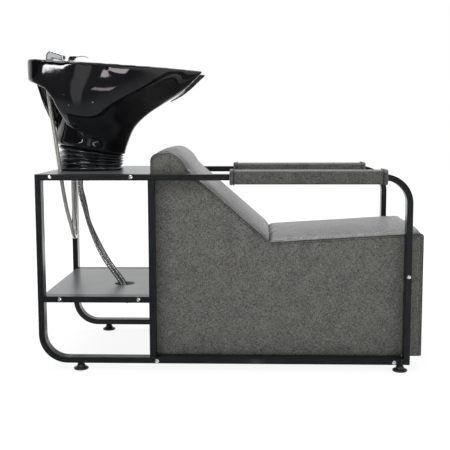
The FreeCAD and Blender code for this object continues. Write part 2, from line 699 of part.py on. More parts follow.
# Basin. Its outline morphs from the round column to the wide rim with a narrow nose.
ROUND_SHARES = [(0.0, 0.0), (0.043, 0.407), (0.146, 0.707), (0.265, 0.883), (0.413, 0.985),
                (0.587, 0.985), (0.75, 0.866), (0.872, 0.669), (0.949, 0.438), (0.985, 0.242),
                (1.0, 0.0)]
RIM_SHARES = [(0.0, 0.0), (0.001, 0.40), (0.012, 0.72), (0.055, 0.905), (0.16, 0.985),
              (0.34, 1.0), (0.58, 0.90), (0.78, 0.70), (0.92, 0.475), (0.984, 0.37), (1.0, 0.0)]
# Each level: height share, rear share, front share, width share, rim form share.
LEVEL_SHARES = [(0.0, 0.0, 0.0, 0.0, 0.0), (0.10, -0.08, 0.03, 0.01, 0.0),
                (0.185, -0.12, 0.065, 0.08, 0.05), (0.29, 0.10, 0.125, 0.37, 0.30),
                (0.42, 0.40, 0.25, 0.66, 0.65), (0.56, 0.74, 0.45, 0.82, 0.88),
                (0.76, 0.98, 0.75, 0.93, 1.0), (0.88, 1.0, 0.89, 0.967, 1.0),
                (1.0, 1.0, 1.0, 1.0, 1.0)]
column_x = left + s.column_place
rim_rear_x = left - s.basin_overhang
rim_front_x = left + s.basin_nose
fall_slope = math.tan(math.radians(s.rim_fall))


def mix(low, high, share):
    return low + (high - low) * share


def rim_z(x):
    """The height of the sloping rim plane at x."""
    return s.rim_rear_height - fall_slope * (x - rim_rear_x)


def mixed_outline(rear_x, front_x, half, form, centre, fall):
    """A closed curve between the round form and the rim's, tilted about its middle."""
    points = []
    for round_share, rim_share in zip(ROUND_SHARES, RIM_SHARES):
        along = mix(round_share[0], rim_share[0], form)
        aside = mix(round_share[1], rim_share[1], form)
        points.append(tilted(V(mix(rear_x, front_x, along), aside * half, centre.z), centre, fall))
    mirrored = [V(p.x, -p.y, p.z) for p in reversed(points[1:-1])]
    return ring_curve(points + mirrored)


def level_curve(level, inset):
    """One closed curve round the basin at a level, set inwards by inset. The slanting front
    takes a wider inset, so that the wall is as thick there."""
    up, rear, front, wide, form = level
    rear_x = mix(column_x - s.column_radius, rim_rear_x, rear) + inset
    front_x = mix(column_x + s.column_radius, rim_front_x, front) - inset * (1 + form)
    half = mix(s.column_radius, s.basin_half_width, wide) - inset
    x = (rear_x + front_x) / 2
    centre = V(x, 0, mix(s.column_height, rim_z(x), up))
    fall = mix(s.column_fall, s.rim_fall, min(1, 2 * up))
    return mixed_outline(rear_x, front_x, half, form, centre, fall)


def level_loft(levels, inset):
    return Part.makeLoft([level_curve(level, inset) for level in levels], True, False)


outside = level_loft(LEVEL_SHARES, 0)

# The bowl's hollow, from its flat floor to above the rim.
BOWL_SHARES = [(0.0, 0.0, 0.0, 0.0, 0.0), (0.10, 0.24, 0.19, 0.40, 0.35),
               (0.34, 0.60, 0.44, 0.66, 0.8), (0.66, 0.85, 0.73, 0.88, 1.0),
               (1.0, 1.0, 0.97, 1.0, 1.0), (1.12, 1.0, 1.02, 1.01, 1.0)]


def bowl_curve(level, grow):
    up, rear, front, wide, form = level
    rear_x = mix(column_x - s.bowl_foot_radius, left + s.deck_place, rear) - grow
    front_x = mix(column_x + s.bowl_foot_radius, rim_front_x - 2 * s.rim_width, front) + grow
    half = mix(s.bowl_foot_radius, s.basin_half_width - s.rim_width, wide) + grow
    x = (rear_x + front_x) / 2
    centre = V(x, 0, mix(s.bowl_floor, rim_z(x), up))
    return mixed_outline(rear_x, front_x, half, form, centre, s.rim_fall * min(1, 2 * up))


def bowl_loft(grow):
    """The bowl grown by grow on every side; a grown bowl goes as far below the floor."""
    levels = list(BOWL_SHARES)
    if grow > 0:
        levels.insert(0, (-grow / (rim_z(column_x) - s.bowl_floor), 0, 0, 0, 0))
    return Part.makeLoft([bowl_curve(level, grow) for level in levels], True, False)


bowl = bowl_loft(0)
bowl_skin = bowl_loft(s.basin_wall)


# The column is a tube square to its own tilted foot; it runs up to the underside of the bowl.
column_foot = V(column_x, 0, s.column_height)
column_axis = FreeCAD.Rotation(Y_AXIS, s.column_fall).multVec(Z_AXIS)
tube_radius = s.column_radius - s.column_step


def column_point(across_x, across_y, up):
    """A point from the middle of the column's foot, along its tilted directions."""
    turn = FreeCAD.Rotation(Y_AXIS, s.column_fall)
    return column_foot + turn.multVec(V(across_x, across_y, up))


def column_disc(radius, low, high):
    return Part.makeCylinder(radius, high - low, column_point(0, 0, low), column_axis)


def side_prism(points, half_width):
    outline = wire_of([V(left + x, -half_width, z) for x, z in points])
    return Part.Face(outline).extrude(V(0, 2 * half_width, 0))


# The casting is open at the rear, under the deck: its skirt's rear edge, in shares of the
# distance from the deck's rear to the column's axis and of the height from the foot to the deck.
SKIRT_SHARES = [(-0.40, 0.789), (0.02, 0.789), (0.216, 0.757), (0.409, 0.704), (0.545, 0.575),
                (0.602, 0.461), (0.676, 0.304), (0.756, 0.243), (0.881, 0.214), (1.0, 0.20),
                (1.0, -0.30), (-0.40, -0.30)]
WEB_SHARES = [(0.0, 0.80), (0.091, 0.611), (0.199, 0.411), (0.33, 0.179)]
deck_span = s.column_place + s.basin_overhang
foot_span = rim_z(column_x) - s.column_height


def skirt_place(shares):
    along, up = shares
    return (along * deck_span - s.basin_overhang, s.column_height + up * foot_span)


skirt_tool = side_prism([skirt_place(pair) for pair in SKIRT_SHARES],
                        s.basin_half_width + overrun)
column_bore = column_disc(tube_radius - s.basin_wall, s.column_floor, s.column_length)
column_tube = column_disc(tube_radius, s.column_floor, s.column_length).cut(column_bore)
column_keep = column_disc(tube_radius, -overrun, s.column_length)
column_keep = column_keep.fuse(column_disc(s.column_radius + s.basin_wall, -overrun,
                                           s.column_skirt))


def web_block(inset, half_width):
    """The closed web between the column and the deck's rear."""
    outline = [skirt_place(pair) for pair in WEB_SHARES]
    outline = [(x + inset, z) for x, z in outline]
    far_x = s.deck_place
    outline += [(outline[-1][0], s.web_low), (far_x, s.web_low), (far_x, rim_z(left) + overrun),
                (outline[0][0], rim_z(left) + overrun)]
    return side_prism(outline, half_width)


web = web_block(0, s.web_half_width).cut(column_disc(tube_radius - s.basin_wall / 2, -overrun,
                                                     s.column_length))
web = web.cut(web_block(s.basin_wall, s.web_half_width - s.basin_wall))

floor_share = s.column_floor / foot_span
top_share = 1 - s.deck_wall / foot_span
inside_levels = [(floor_share, 0, 0, 0, 0), *LEVEL_SHARES[1:-1], (top_share, 1, 0.94, 0.98, 1)]
cavity = level_loft(inside_levels, s.basin_wall).cut(bowl_skin).cut(web).cut(column_tube)
rear_opening = skirt_tool.cut(column_keep).cut(bowl_skin).cut(web)

# The neck notch, the drain hole, and the holes in the deck and the column.
deck_axis = FreeCAD.Rotation(Y_AXIS, s.rim_fall).multVec(Z_AXIS)


def deck_point(place, side):
    return V(left + place, side, rim_z(left + place))


notch_z = s.neck_height + s.neck_radius
notch_high = s.rim_rear_height + overrun
notch_ends = [V(0, -s.neck_radius, notch_z), V(0, s.neck_radius, notch_z)]
notch_edges = [
    Part.Arc(notch_ends[0], V(0, 0, s.neck_height), notch_ends[1]),
    Part.LineSegment(notch_ends[1], V(0, s.neck_radius, notch_high)),
    Part.LineSegment(V(0, s.neck_radius, notch_high), V(0, -s.neck_radius, notch_high)),
    Part.LineSegment(V(0, -s.neck_radius, notch_high), notch_ends[0]),
]
notch = Part.Face(Part.Wire([edge.toShape() for edge in notch_edges]))
notch = notch.extrude(V(s.basin_nose, 0, 0))
notch.translate(V((column_x + rim_front_x) / 2, 0, 0))
mixer_seat = deck_point(s.mixer_place, s.mixer_side)
holder_seat = deck_point(s.holder_place, -s.holder_side)
deck_holes = [
    Part.makeCylinder(radius + s.hole_gap, 2 * s.shank_length, seat + deck_axis * s.shank_length / 2,
                      deck_axis * -1)
    for radius, seat in ((s.shank_radius, mixer_seat), (s.sleeve_radius, holder_seat))]
drain_seat = Part.makeCylinder(s.tail_hole_radius, s.basin_wall,
                               V(column_x, 0, s.bowl_floor - 2 * s.basin_wall))
drain_hole = Part.makeCylinder(s.drain_radius, 3 * s.basin_wall,
                               V(column_x, 0, s.bowl_floor - 2 * s.basin_wall))
# The tails run from the mixer to the column in one upright plane.
tail_way = V(s.mixer_place - s.column_place, s.mixer_side, 0).normalize()
lane_way = V(tail_way.y, -tail_way.x, 0)
window = Part.makeCylinder(s.window_radius, s.column_radius - s.column_opening,
                           V(column_x, 0, s.window_height) + tail_way * (s.column_radius / 2
                                                                        + s.window_radius),
                           tail_way)


def slot(radius):
    """A slot through the column's floor and the carrier, from their opening towards the window."""
    length = radius - s.column_opening / 2
    block = Part.makeBox(length, 2 * s.slot_half_width, 2 * s.column_floor + 2 * s.carrier,
                         V(0, -s.slot_half_width, 0))
    block.rotate(V(0, 0, 0), Z_AXIS, math.degrees(math.atan2(tail_way.y, tail_way.x)))
    block.translate(V(0, 0, -s.column_floor) + tail_way * (s.column_opening / 2))
    block.rotate(V(0, 0, 0), Y_AXIS, s.column_fall)
    block.translate(column_foot)
    return block


BOLT_ANGLES = (25, 155, 205, 335)


def carrier_bolt_foot(angle, up):
    radians = math.radians(angle)
    reach = s.carrier_bolt_circle
    return column_point(reach * math.cos(radians), reach * math.sin(radians), up)


floor_hole = Part.makeCylinder(s.column_opening, 3 * s.column_floor,
                               column_point(0, 0, -s.column_floor), column_axis)
bolt_holes = [Part.makeCylinder(s.bolt_radius + s.hole_gap, 3 * s.column_floor,
                                carrier_bolt_foot(angle, -s.column_floor), column_axis)
              for angle in BOLT_ANGLES]
column_slot = slot(tube_radius - s.basin_wall)
# A port from the column into the web's hollow.
web_port = Part.makeCylinder(s.window_radius, s.column_radius - s.column_opening,
                             V(column_x, 0, s.window_height + s.window_radius / 2)
                             - V(s.column_radius - s.window_radius, 0, 0), V(-1, 0, 0))
web_port = web_port.common(Part.makeBox(s.column_radius, s.basin_half_width, s.column_height,
                                        V(left + 2 * s.basin_wall, -s.basin_half_width / 2,
                                          s.column_height)))
basin = outside.cut(bowl).cut(cavity).cut(rear_opening).cut(column_bore.cut(bowl_skin))
basin = basin.cut([notch, drain_seat, drain_hole, window, column_slot, floor_hole, web_port, *bolt_holes,
                   *deck_holes])
# The bowl's skin is a shell of its own, bonded into the outer casting.
sub_part(feature("casting", basin.cut(bowl_skin)), "basin")
sub_part(feature("bowl_shell", basin.common(bowl_skin)), "basin_bowl")


# Tilt joint: two brackets on the plate, stub pins, and a carrier ring bolted under the column.
ear_in = s.ear_side - s.ear / 2
ear_out = s.ear_side + s.ear / 2


def rounded_ear(inner_y, low_z, high_z, round_top):
    """A plate on edge, half round at one end; inner_y is its face nearer the middle."""
    block = Part.makeBox(2 * s.ear_half_width, s.ear, high_z - low_z,
                         V(column_x - s.ear_half_width, inner_y, low_z))
    disc_z = high_z if round_top else low_z
    return block.fuse(Part.makeCylinder(s.ear_half_width, s.ear, V(column_x, inner_y, disc_z),
                                        Y_AXIS))


brackets = []
pins = []
carrier_ears = []
for word, side in SIDES:
    ear_y = ear_in if side > 0 else -ear_out
    foot_y = foot_in if side > 0 else -foot_in - s.bracket_foot - s.ear / 2
    foot = Part.makeBox(s.bracket_length, s.bracket_foot + s.ear / 2, s.ear,
                        V(column_x - s.bracket_length / 2, foot_y, s.rail_top))
    bracket = foot.fuse(rounded_ear(ear_y, s.rail_top, s.pivot_height, True))
    bores = [Part.makeCylinder(s.pin_radius, s.ear, V(column_x, ear_y, s.pivot_height), Y_AXIS)]
    for place, across, through in BRACKET_BOLTS:
        bores.append(Part.makeCylinder(s.bolt_radius + s.thread_gap, s.ear,
                                       V(left + place, across, s.rail_top)))
    brackets.append(feature("bracket_" + word, bracket.cut(bores)))

    # The carrier's ear hangs just inside the bracket's.
    hang_out = ear_in - s.running_gap
    hang_y = hang_out - s.ear if side > 0 else -hang_out
    hang = rounded_ear(hang_y, s.pivot_height, s.column_height + s.column_floor, False)
    below = Part.makeCylinder(s.carrier_radius, s.column_radius,
                              column_point(0, 0, -s.carrier / 2), column_axis * -1)
    hang = hang.common(below)
    hang = hang.cut(Part.makeCylinder(s.pin_radius + s.running_gap, s.ear,
                                      V(column_x, hang_y, s.pivot_height), Y_AXIS))
    carrier_ears.append(hang)

    clip_end = hang_out - s.ear - s.running_gap - s.pin_clip - s.pin_reach
    stub = turned("stub_pin_" + word, [
        ("0", "0"), ("pin_radius", "0"), ("pin_radius", "pin_reach"),
        ("pin_clip_radius", "pin_reach"), ("pin_clip_radius", "pin_reach + pin_clip"),
        ("pin_radius", "pin_reach + pin_clip"),
        ("pin_radius", "pin_reach + pin_clip + 2 * ear + 2 * running_gap"),
        ("pin_head_radius", "pin_reach + pin_clip + 2 * ear + 2 * running_gap"),
        ("pin_head_radius", "pin_reach + pin_clip + 2 * ear + 2 * running_gap + pin_head"),
        ("0", "pin_reach + pin_clip + 2 * ear + 2 * running_gap + pin_head")],
        (column_x, side * clip_end, s.pivot_height), V(0, side, 0))
    pins.append(stub)
sub_part(group("tilt_bracket_pair", brackets), "tilt_brackets")
sub_part(group("tilt_pin_pair", pins), "tilt_pins")

bracket_bolts = []
for k, (place, across, through) in enumerate(BRACKET_BOLTS):
    top = s.rail_top + s.ear
    head = doc.addObject("Part::Prism", "bracket_bolt_head_%d" % k)
    head.Polygon = 6
    bind(head, Circumradius="bolt_head_radius", Height="bolt_head")
    head.Placement = FreeCAD.Placement(V(left + place, across, top), FreeCAD.Rotation())
    pieces = [head]
    deep = "ear + board + bracket_bolt_drop" if through else "ear + bracket_screw"
    pieces.append(cylinder("bracket_bolt_shank_%d" % k, (left + place, across, top),
                           "bolt_radius", deep, V(0, 0, -1)))
    if through:
        low = s.rail_top - s.board
        pieces.append(cylinder("bracket_bolt_nut", (left + place, across, low), "bolt_head_radius",
                               "bolt_head", V(0, 0, -1)))
        pieces.append(cylinder("bracket_bolt_end", (left + place, across,
                                                    low - s.bracket_bolt_drop),
                               "bolt_head_radius * 0.8", "bolt_head / 2"))
    bracket_bolts.append(group("bracket_bolt_%d" % k, pieces))
sub_part(group("bracket_bolt_set", bracket_bolts), "bracket_bolts")

carrier_low = column_point(0, 0, -s.carrier)
carrier = Part.makeCylinder(s.carrier_radius, s.carrier, carrier_low, column_axis)
carrier = carrier.cut([slot(s.carrier_radius + s.carrier), floor_hole, *bolt_holes])
carrier = carrier.fuse(carrier_ears)
sub_part(feature("carrier_ring", carrier), "tilt_carrier")

carrier_bolts = []
for k, angle in enumerate(BOLT_ANGLES):
    pieces = []
    for word, up in (("head", -s.carrier - s.bolt_head), ("nut", s.column_floor)):
        hexagon = doc.addObject("Part::Prism", "carrier_bolt_%s_%d" % (word, k))
        hexagon.Polygon = 6
        bind(hexagon, Circumradius="bolt_head_radius", Height="bolt_head")
        hexagon.Placement = FreeCAD.Placement(carrier_bolt_foot(angle, up), turn_to(column_axis))
        pieces.append(hexagon)
    pieces.append(cylinder("carrier_bolt_shank_%d" % k, carrier_bolt_foot(angle, -s.carrier),
                           "bolt_radius", "carrier + column_floor + 1.5 * bolt_head", column_axis))
    carrier_bolts.append(group("carrier_bolt_%d" % k, pieces))
sub_part(group("carrier_bolt_set", carrier_bolts), "carrier_bolts")


# Rubber bellows: each rib is a valley, a rise, a peak and a fall; the rings lean over step by
# step from the flat plate to the column's tilted foot.
RIBS = 6
RIB_SHARES = (0.0, 0.55, 1.0, 0.55)


def bellows_ring(step, inset):
    share = step / (RIBS * len(RIB_SHARES))
    bulge = RIB_SHARES[step % len(RIB_SHARES)]
    radius = mix(s.bellows_valley, s.bellows_radius, bulge) - inset
    ring = Part.Circle(V(0, 0, 0), Z_AXIS, radius).toShape()
    ring.rotate(V(0, 0, 0), Y_AXIS, s.column_fall * share)
    ring.translate(V(column_x, 0, mix(s.rail_top, s.column_height, share)))
    return Part.Wire([ring])


steps = range(RIBS * len(RIB_SHARES) + 1)
bellows = Part.makeLoft([bellows_ring(step, 0) for step in steps], True, True)
bellows_bore = Part.makeLoft([bellows_ring(step, s.bellows_wall) for step in steps], True, True)
sub_part(feature("bellows_tube", bellows.cut(bellows_bore)), "bellows")


# Drain: a flange in the bowl's floor, a tail below it, and a strainer that lifts out.
flange = turned("flange", [
    ("drain_bore", "0"), ("drain_neck_radius", "0"), ("drain_neck_radius", "drain_neck"),
    ("drain_flange_radius", "drain_neck"), ("drain_flange_radius", "drain_neck + drain_flange / 2"),
    ("drain_flange_radius - drain_flange", "drain_neck + drain_flange"),
    ("drain_bore", "drain_neck + drain_flange")],
    (column_x, 0, s.bowl_floor - s.drain_neck))
sub_part(flange, "drain_flange")
tail = turned("tail", [
    ("tail_radius - tail_wall", "0"), ("tail_radius", "0"), ("tail_radius", "tail_bead_place"),
    ("tail_bead_radius", "tail_bead_place"),
    ("tail_bead_radius", "tail_bead_place + tail_bead"),
    ("tail_radius", "tail_bead_place + tail_bead"),
    ("tail_radius", "bowl_floor - basin_wall - tail_end - 2 * tail_cup"),
    ("tail_cup_radius", "bowl_floor - basin_wall - tail_end - tail_cup"),
    ("tail_cup_radius", "bowl_floor - basin_wall - tail_end"),
    ("drain_neck_radius + thread_gap", "bowl_floor - basin_wall - tail_end"),
    ("drain_neck_radius + thread_gap", "bowl_floor - drain_neck - tail_end - thread_gap"),
    ("tail_radius - tail_wall", "bowl_floor - drain_neck - tail_end - 2 * tail_wall")],
    (column_x, 0, s.tail_end))
sub_part(tail, "drain_tail")
strainer = turned("strainer_body", [
    ("0", "0"), ("drain_bore - 2 * running_gap", "0"),
    ("drain_bore - 2 * running_gap", "strainer_cup"), ("strainer_radius", "strainer_cup"),
    ("strainer_radius", "strainer_cup + strainer_disc / 2"),
    ("strainer_radius - strainer_disc", "strainer_cup + strainer_disc"),
    ("strainer_disc", "strainer_cup + 2 * strainer_disc"),
    ("0", "strainer_cup + 2 * strainer_disc")],
    (column_x, 0, s.bowl_floor + s.drain_flange - s.strainer_cup))
slots = []
for k in range(8):
    turn = 2 * math.pi * k / 8
    slots.append(cylinder("strainer_slot_%d" % k, (
        column_x + s.strainer_circle * math.cos(turn), s.strainer_circle * math.sin(turn),
        s.bowl_floor - s.strainer_cup), "strainer_slot", "3 * strainer_cup"))
sub_part(cut("strainer_cut", strainer, slots), "hair_strainer")


# Tap on the deck: the mixer with its shank and nut, its turning cap and its lever.
mixer = turned("mixer_turn", [
    ("0", "0"), ("shank_radius", "0"), ("shank_radius", "shank_length"),
    ("mixer_radius", "shank_length"), ("mixer_radius", "shank_length + mixer_height * 0.4"),
    ("cap_radius + lever_rise / 9", "shank_length + mixer_height"),
    ("0", "shank_length + mixer_height")],
    mixer_seat - deck_axis * s.shank_length, deck_axis)
sub_part(mixer, "mixer_body")
cap = turned("cap_turn", [
    ("0", "0"), ("cap_radius", "0"), ("cap_radius", "cap_height"), ("0", "cap_height")],
    mixer_seat + deck_axis * (s.mixer_height + s.running_gap), deck_axis)
lever_base = mixer_seat + deck_axis * (s.mixer_height + s.cap_height + 2 * s.running_gap)
# The lever turns on a knuckle across the back of the cap.
knuckle = lever_base + V(-deck_axis.z, 0, deck_axis.x) * (s.lever_width / 2 - s.knuckle_radius)
barrel = cylinder("cap_barrel", knuckle - V(0, s.cap_radius * 0.7, 0), "knuckle_radius",
                  "cap_radius * 1.4", Y_AXIS)
sub_part(group("cap_body", [cap, barrel]), "mixer_cartridge")

LEVER_SHARES = [(0.0, 0.0), (0.02, 0.18), (0.10, 0.72), (0.165, 0.97), (0.20, 1.0), (0.45, 0.985),
                (0.70, 0.94), (0.85, 0.89), (0.94, 0.74), (1.0, 0.56), (0.985, 0.48), (0.92, 0.63),
                (0.84, 0.76), (0.68, 0.80), (0.52, 0.74), (0.40, 0.55), (0.34, 0.33), (0.33, 0.0)]
lever_rear = lever_base - V(s.lever_width / 2, 0, 0)


def shared_prism(shares, start, along, up, width):
    """A plate of the given width whose outline is in shares of along and up."""
    points = [start + V(x * along, -width / 2, z * up) for x, z in shares]
    return Part.Face(wire_of(points)).extrude(V(0, width, 0))


lever = shared_prism(LEVER_SHARES, V(0, 0, 0), s.lever_length, s.lever_rise, s.lever_width)
lever.rotate(V(0, 0, 0), Y_AXIS, s.rim_fall / 3)
lever.translate(lever_rear)
lever_floor = Part.makeCylinder(s.lever_length, s.lever_rise, lever_base, deck_axis * -1)
groove = Part.makeCylinder(s.knuckle_radius + s.running_gap, s.lever_width + 2 * overrun,
                           knuckle - V(0, s.lever_width / 2 + overrun, 0), Y_AXIS)
relief = Part.makeBox(overrun, s.lever_width + 2 * overrun, s.knuckle_radius * 1.3,
                      knuckle - V(overrun, s.lever_width / 2 + overrun, 0))
sub_part(feature("lever_body", lever.cut(lever_floor).cut(groove).cut(relief)), "mixer_lever")

deck_under = (1 - top_share) * foot_span * math.cos(math.radians(s.rim_fall))


def tap_nut(name, seat, bore):
    nut = doc.addObject("Part::Prism", name + "_hexagon")
    nut.Polygon = 6
    bind(nut, Circumradius="tap_nut_radius", Height="tap_nut")
    nut.Placement = FreeCAD.Placement(seat - deck_axis * (deck_under + s.tap_nut),
                                      turn_to(deck_axis))
    hole = cylinder(name + "_hole", seat - deck_axis * (deck_under + 2 * s.tap_nut), bore,
                    "3 * tap_nut", deck_axis)
    return cut(name, nut, [hole])


sub_part(group("tap_nut_pair", [
    tap_nut("mixer_nut", mixer_seat, "shank_radius + thread_gap"),
    tap_nut("holder_nut", holder_seat, "sleeve_radius + thread_gap")]), "tap_nuts")


# Hand shower in its holder.
holder = turned("holder_turn", [
    ("neck_tube_radius + running_gap", "0"), ("sleeve_radius", "0"),
    ("sleeve_radius", "holder_tail"), ("holder_radius", "holder_tail"),
    ("holder_radius", "holder_tail + holder_height"),
    ("neck_tube_radius + running_gap", "holder_tail + holder_height")],
    holder_seat - deck_axis * s.holder_tail, deck_axis)
sub_part(holder, "handset_holder")

HEAD_SHARES = [(-0.15, 0.0), (-0.133, 0.51), (-0.083, 0.716), (0.007, 0.88), (0.108, 1.0),
               (0.183, 0.985), (0.833, 0.60), (0.858, 0.54), (0.858, 0.03), (0.817, -0.03),
               (0.25, 0.18), (0.17, 0.0)]
head_seat = holder_seat + deck_axis * s.holder_height
head = shared_prism(HEAD_SHARES, head_seat, s.head_length, s.head_rise, s.head_width)
head_floor = Part.makeCylinder(s.head_length / 2, s.head_rise, head_seat, deck_axis * -1)
head = head.cut(head_floor)
long_edges = [edge for edge in head.Edges
              if edge.BoundBox.YLength < s.running_gap and edge.BoundBox.ZMin > head_seat.z
              and edge.BoundBox.ZMax > head_seat.z + s.head_rise / 2]
head = head.makeChamfer(s.head_round / 2, long_edges)
neck = Part.makeCylinder(s.neck_tube_radius, s.handset_stub + s.head_rise / 3,
                         head_seat - deck_axis * s.handset_stub, deck_axis)
sub_part(feature("handset_body", head.fuse(neck)), "handset")
face_x = head_seat.x + HEAD_SHARES[7][0] * s.head_length
face_z = head_seat.z + s.head_rise * (HEAD_SHARES[7][1] + HEAD_SHARES[8][1]) / 2
plate = Part.makeBox(s.face_plate, s.face_width, s.face_height,
                     V(face_x, head_seat.y - s.face_width / 2, face_z - s.face_height / 2))
nozzles = [Part.makeCylinder(s.nozzle_radius, s.nozzle + s.face_plate / 2,
                             V(face_x + s.face_plate / 2,
                               head_seat.y + s.face_width * (column - 2) / 5,
                               face_z + s.face_height * (row - 1) / 4), V(1, 0, 0))
           for column in range(5) for row in range(3)]
sub_part(feature("face_body", plate.fuse(nozzles)), "handset_face")


# Hoses. Each path is straight runs joined by tangent arcs; the places are X from the rear
# posts, Y and Z.
def hose(name, points, radius):
    """A round tube along the path; prints its least bend radius and its volume against
    section times length."""
    edges = []
    bends = []
    last = points[0]
    for k in range(1, len(points) - 1):
        before = points[k] - points[k - 1]
        after = points[k + 1] - points[k]
        turn = before.getAngle(after)
        reach = min(before.Length, after.Length) * bend_share
        bend = reach / math.tan(turn / 2)
        bends.append(bend)
        enter = points[k] - V(before).normalize() * reach
        leave = points[k] + V(after).normalize() * reach
        inwards = (V(after).normalize() - V(before).normalize()).normalize()
        middle = points[k] + inwards * (bend / math.cos(turn / 2) - bend)
        edges.append(Part.LineSegment(last, enter).toShape())
        edges.append(Part.Arc(enter, middle, leave).toShape())
        last = leave
    edges.append(Part.LineSegment(last, points[-1]).toShape())
    path = Part.Wire(edges)
    ring = Part.Wire([Part.makeCircle(radius, points[0], points[1] - points[0])])
    tube = path.makePipeShell([ring], True, False)
    ratio = tube.Volume / (math.pi * radius * radius * path.Length)
    print("%-18s least bend %5.1f, volume ratio %.4f, length %.0f" % (
        name, min(bends), ratio, path.Length))
    return feature(name, tube)


bend_share = 0.45


def placed(points):
    return [V(left + x, y, z) for x, y, z in points]


fitting_low = s.rail_top - s.board - s.fitting_drop
stub_end = head_seat - deck_axis * s.handset_stub
shower_route = [stub_end, stub_end - deck_axis * (s.handset_stub * 2 / 3)]
shower_route += placed([
    (1.5, -85, 928), (37, -87, 661), (43.5, -91, 608), (52.5, -95.5, 556), (62, -99, 508),
    (77.5, -103, 454), (78, -81, 423.7), (76.5, -45.5, 412.2),
    (72, -10, 423.7), (66, 12, 454), (62.5, 13, 490), (61, 13, 530), (62, 12, 568),
    (62, 12, fitting_low)])
sub_part(hose("shower_tube", shower_route, s.shower_hose_radius), "shower_hose")
hot_route = placed([
    (77.5, 32, fitting_low), (77.5, 32, 578), (86, 27, 542), (99, 19, 505), (112, 8, 462),
    (131, -6, 414), (153, -22, 369), (177, -36, 330), (204, -46, 297), (228, -53, 266),
    (245, -58, 239), (256, -61, 216), (261, -62, 197)])
cold_route = placed([
    (82.5, 50, fitting_low), (82.5, 50, 578), (93, 45, 545), (102, 37, 506), (112, 25, 463),
    (134, 10, 420), (158, -5, 377), (186, -20, 332), (213, -31, 297), (240, -39, 264),
    (257, -44, 237), (268, -46.5, 214), (273, -48, 195)])
nuts = []
for word, route in (("hot", hot_route), ("cold", cold_route)):
    sub_part(hose(word + "_tube", route, s.supply_hose_radius), "supply_hose_" + word)
    way = (route[-1] - route[-2]).normalize()
    nut = doc.addObject("Part::Prism", word + "_nut_hexagon")
    nut.Polygon = 6
    bind(nut, Circumradius="supply_nut_radius", Height="supply_nut")
    nut.Placement = FreeCAD.Placement(route[-1], turn_to(way))
    bore = cylinder(word + "_nut_bore", route[-1] + way * (s.supply_nut - s.supply_bore_depth),
                    "supply_bore", "2 * supply_bore_depth", way)
    nuts.append(cut(word + "_nut", nut, [bore]))
sub_part(group("supply_nut_pair", nuts), "supply_nuts")

# Bulkhead fittings in the plate: a stem, a collar above and a nut below.
fittings = []
for key, (place, across) in FITTINGS.items():
    stem = cylinder("fitting_stem_" + key, (left + place, across, fitting_low), "fitting_radius",
                    "fitting_drop + board + fitting_collar_height")
    collar = cylinder("fitting_top_" + key, (left + place, across, s.rail_top), "fitting_collar",
                      "fitting_collar_height")
    low_nut = cylinder("fitting_nut_" + key, (left + place, across, s.rail_top - s.board),
                       "fitting_collar", "fitting_nut", V(0, 0, -1))
    fittings.append(group("fitting_" + key, [stem, collar, low_nut]))
sub_part(group("fitting_set", fittings), "hose_fittings")

# Three flexible tails from the mixer's shank, through the column's window, to the fittings.
TAIL_ROUTE = [(131, 895), (134, 850), (133, 812), (124, 780), (107, 757), (90, 736), (80, 713)]
shank_end = mixer_seat - deck_axis * s.shank_length
lane_flat = lane_way - deck_axis * lane_way.dot(deck_axis)
fitting_top = s.rail_top + s.fitting_collar_height
tails = []
for lane, key in ((-1, "return"), (0, "hot"), (1, "cold")):
    start = shank_end + lane_flat * (lane * s.tail_spread)
    route = [start, start - deck_axis * (s.shank_length * 2 / 3)]
    lane_shift = lane_way * (lane * s.tail_spread)
    for reach, height in TAIL_ROUTE:
        route.append(V(column_x, 0, height) + tail_way * reach + lane_shift)
    place, across = FITTINGS[key]
    target = V(left + place, across, fitting_top)
    across_way = V(target.x - route[-1].x, target.y - route[-1].y, 0)
    for share, height in ((0.35, 699), (0.8, 682)):
        spot = route[len(TAIL_ROUTE) + 1] + across_way * share
        route.append(V(spot.x, spot.y, height))
    route.append(V(target.x, target.y, 669))
    route.append(target)
    tails.append(hose("tail_" + key, route, s.tail_hose_radius))
sub_part(group("tail_set", tails), "mixer_tails")


doc.recompute()
for label, piece in parts.items():
    if "Invalid" in piece.State or "Error" in piece.State:
        raise RuntimeError("%s failed: %s" % (label, piece.State))
    if piece.Shape.isNull() or not piece.Shape.isValid():
        raise RuntimeError(label + " has no valid shape")
os.makedirs("parts", exist_ok=True)
for label, piece in parts.items():
    piece.Shape.exportStep("parts/" + label + ".step")
print(len(parts), "sub-parts")
for label, piece in parts.items():
    size = piece.Shape.optimalBoundingBox()
    print("%-26s %2d %9.0f  x %7.1f %7.1f  y %7.1f %7.1f  z %7.1f %7.1f" % (
        label, len(piece.Shape.Solids), piece.Shape.Volume,
        size.XMin - left, size.XMax - left, size.YMin, size.YMax, size.ZMin, size.ZMax))
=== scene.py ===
import json
import math

import bmesh
import bpy
from mathutils import Euler, Matrix, Vector, noise

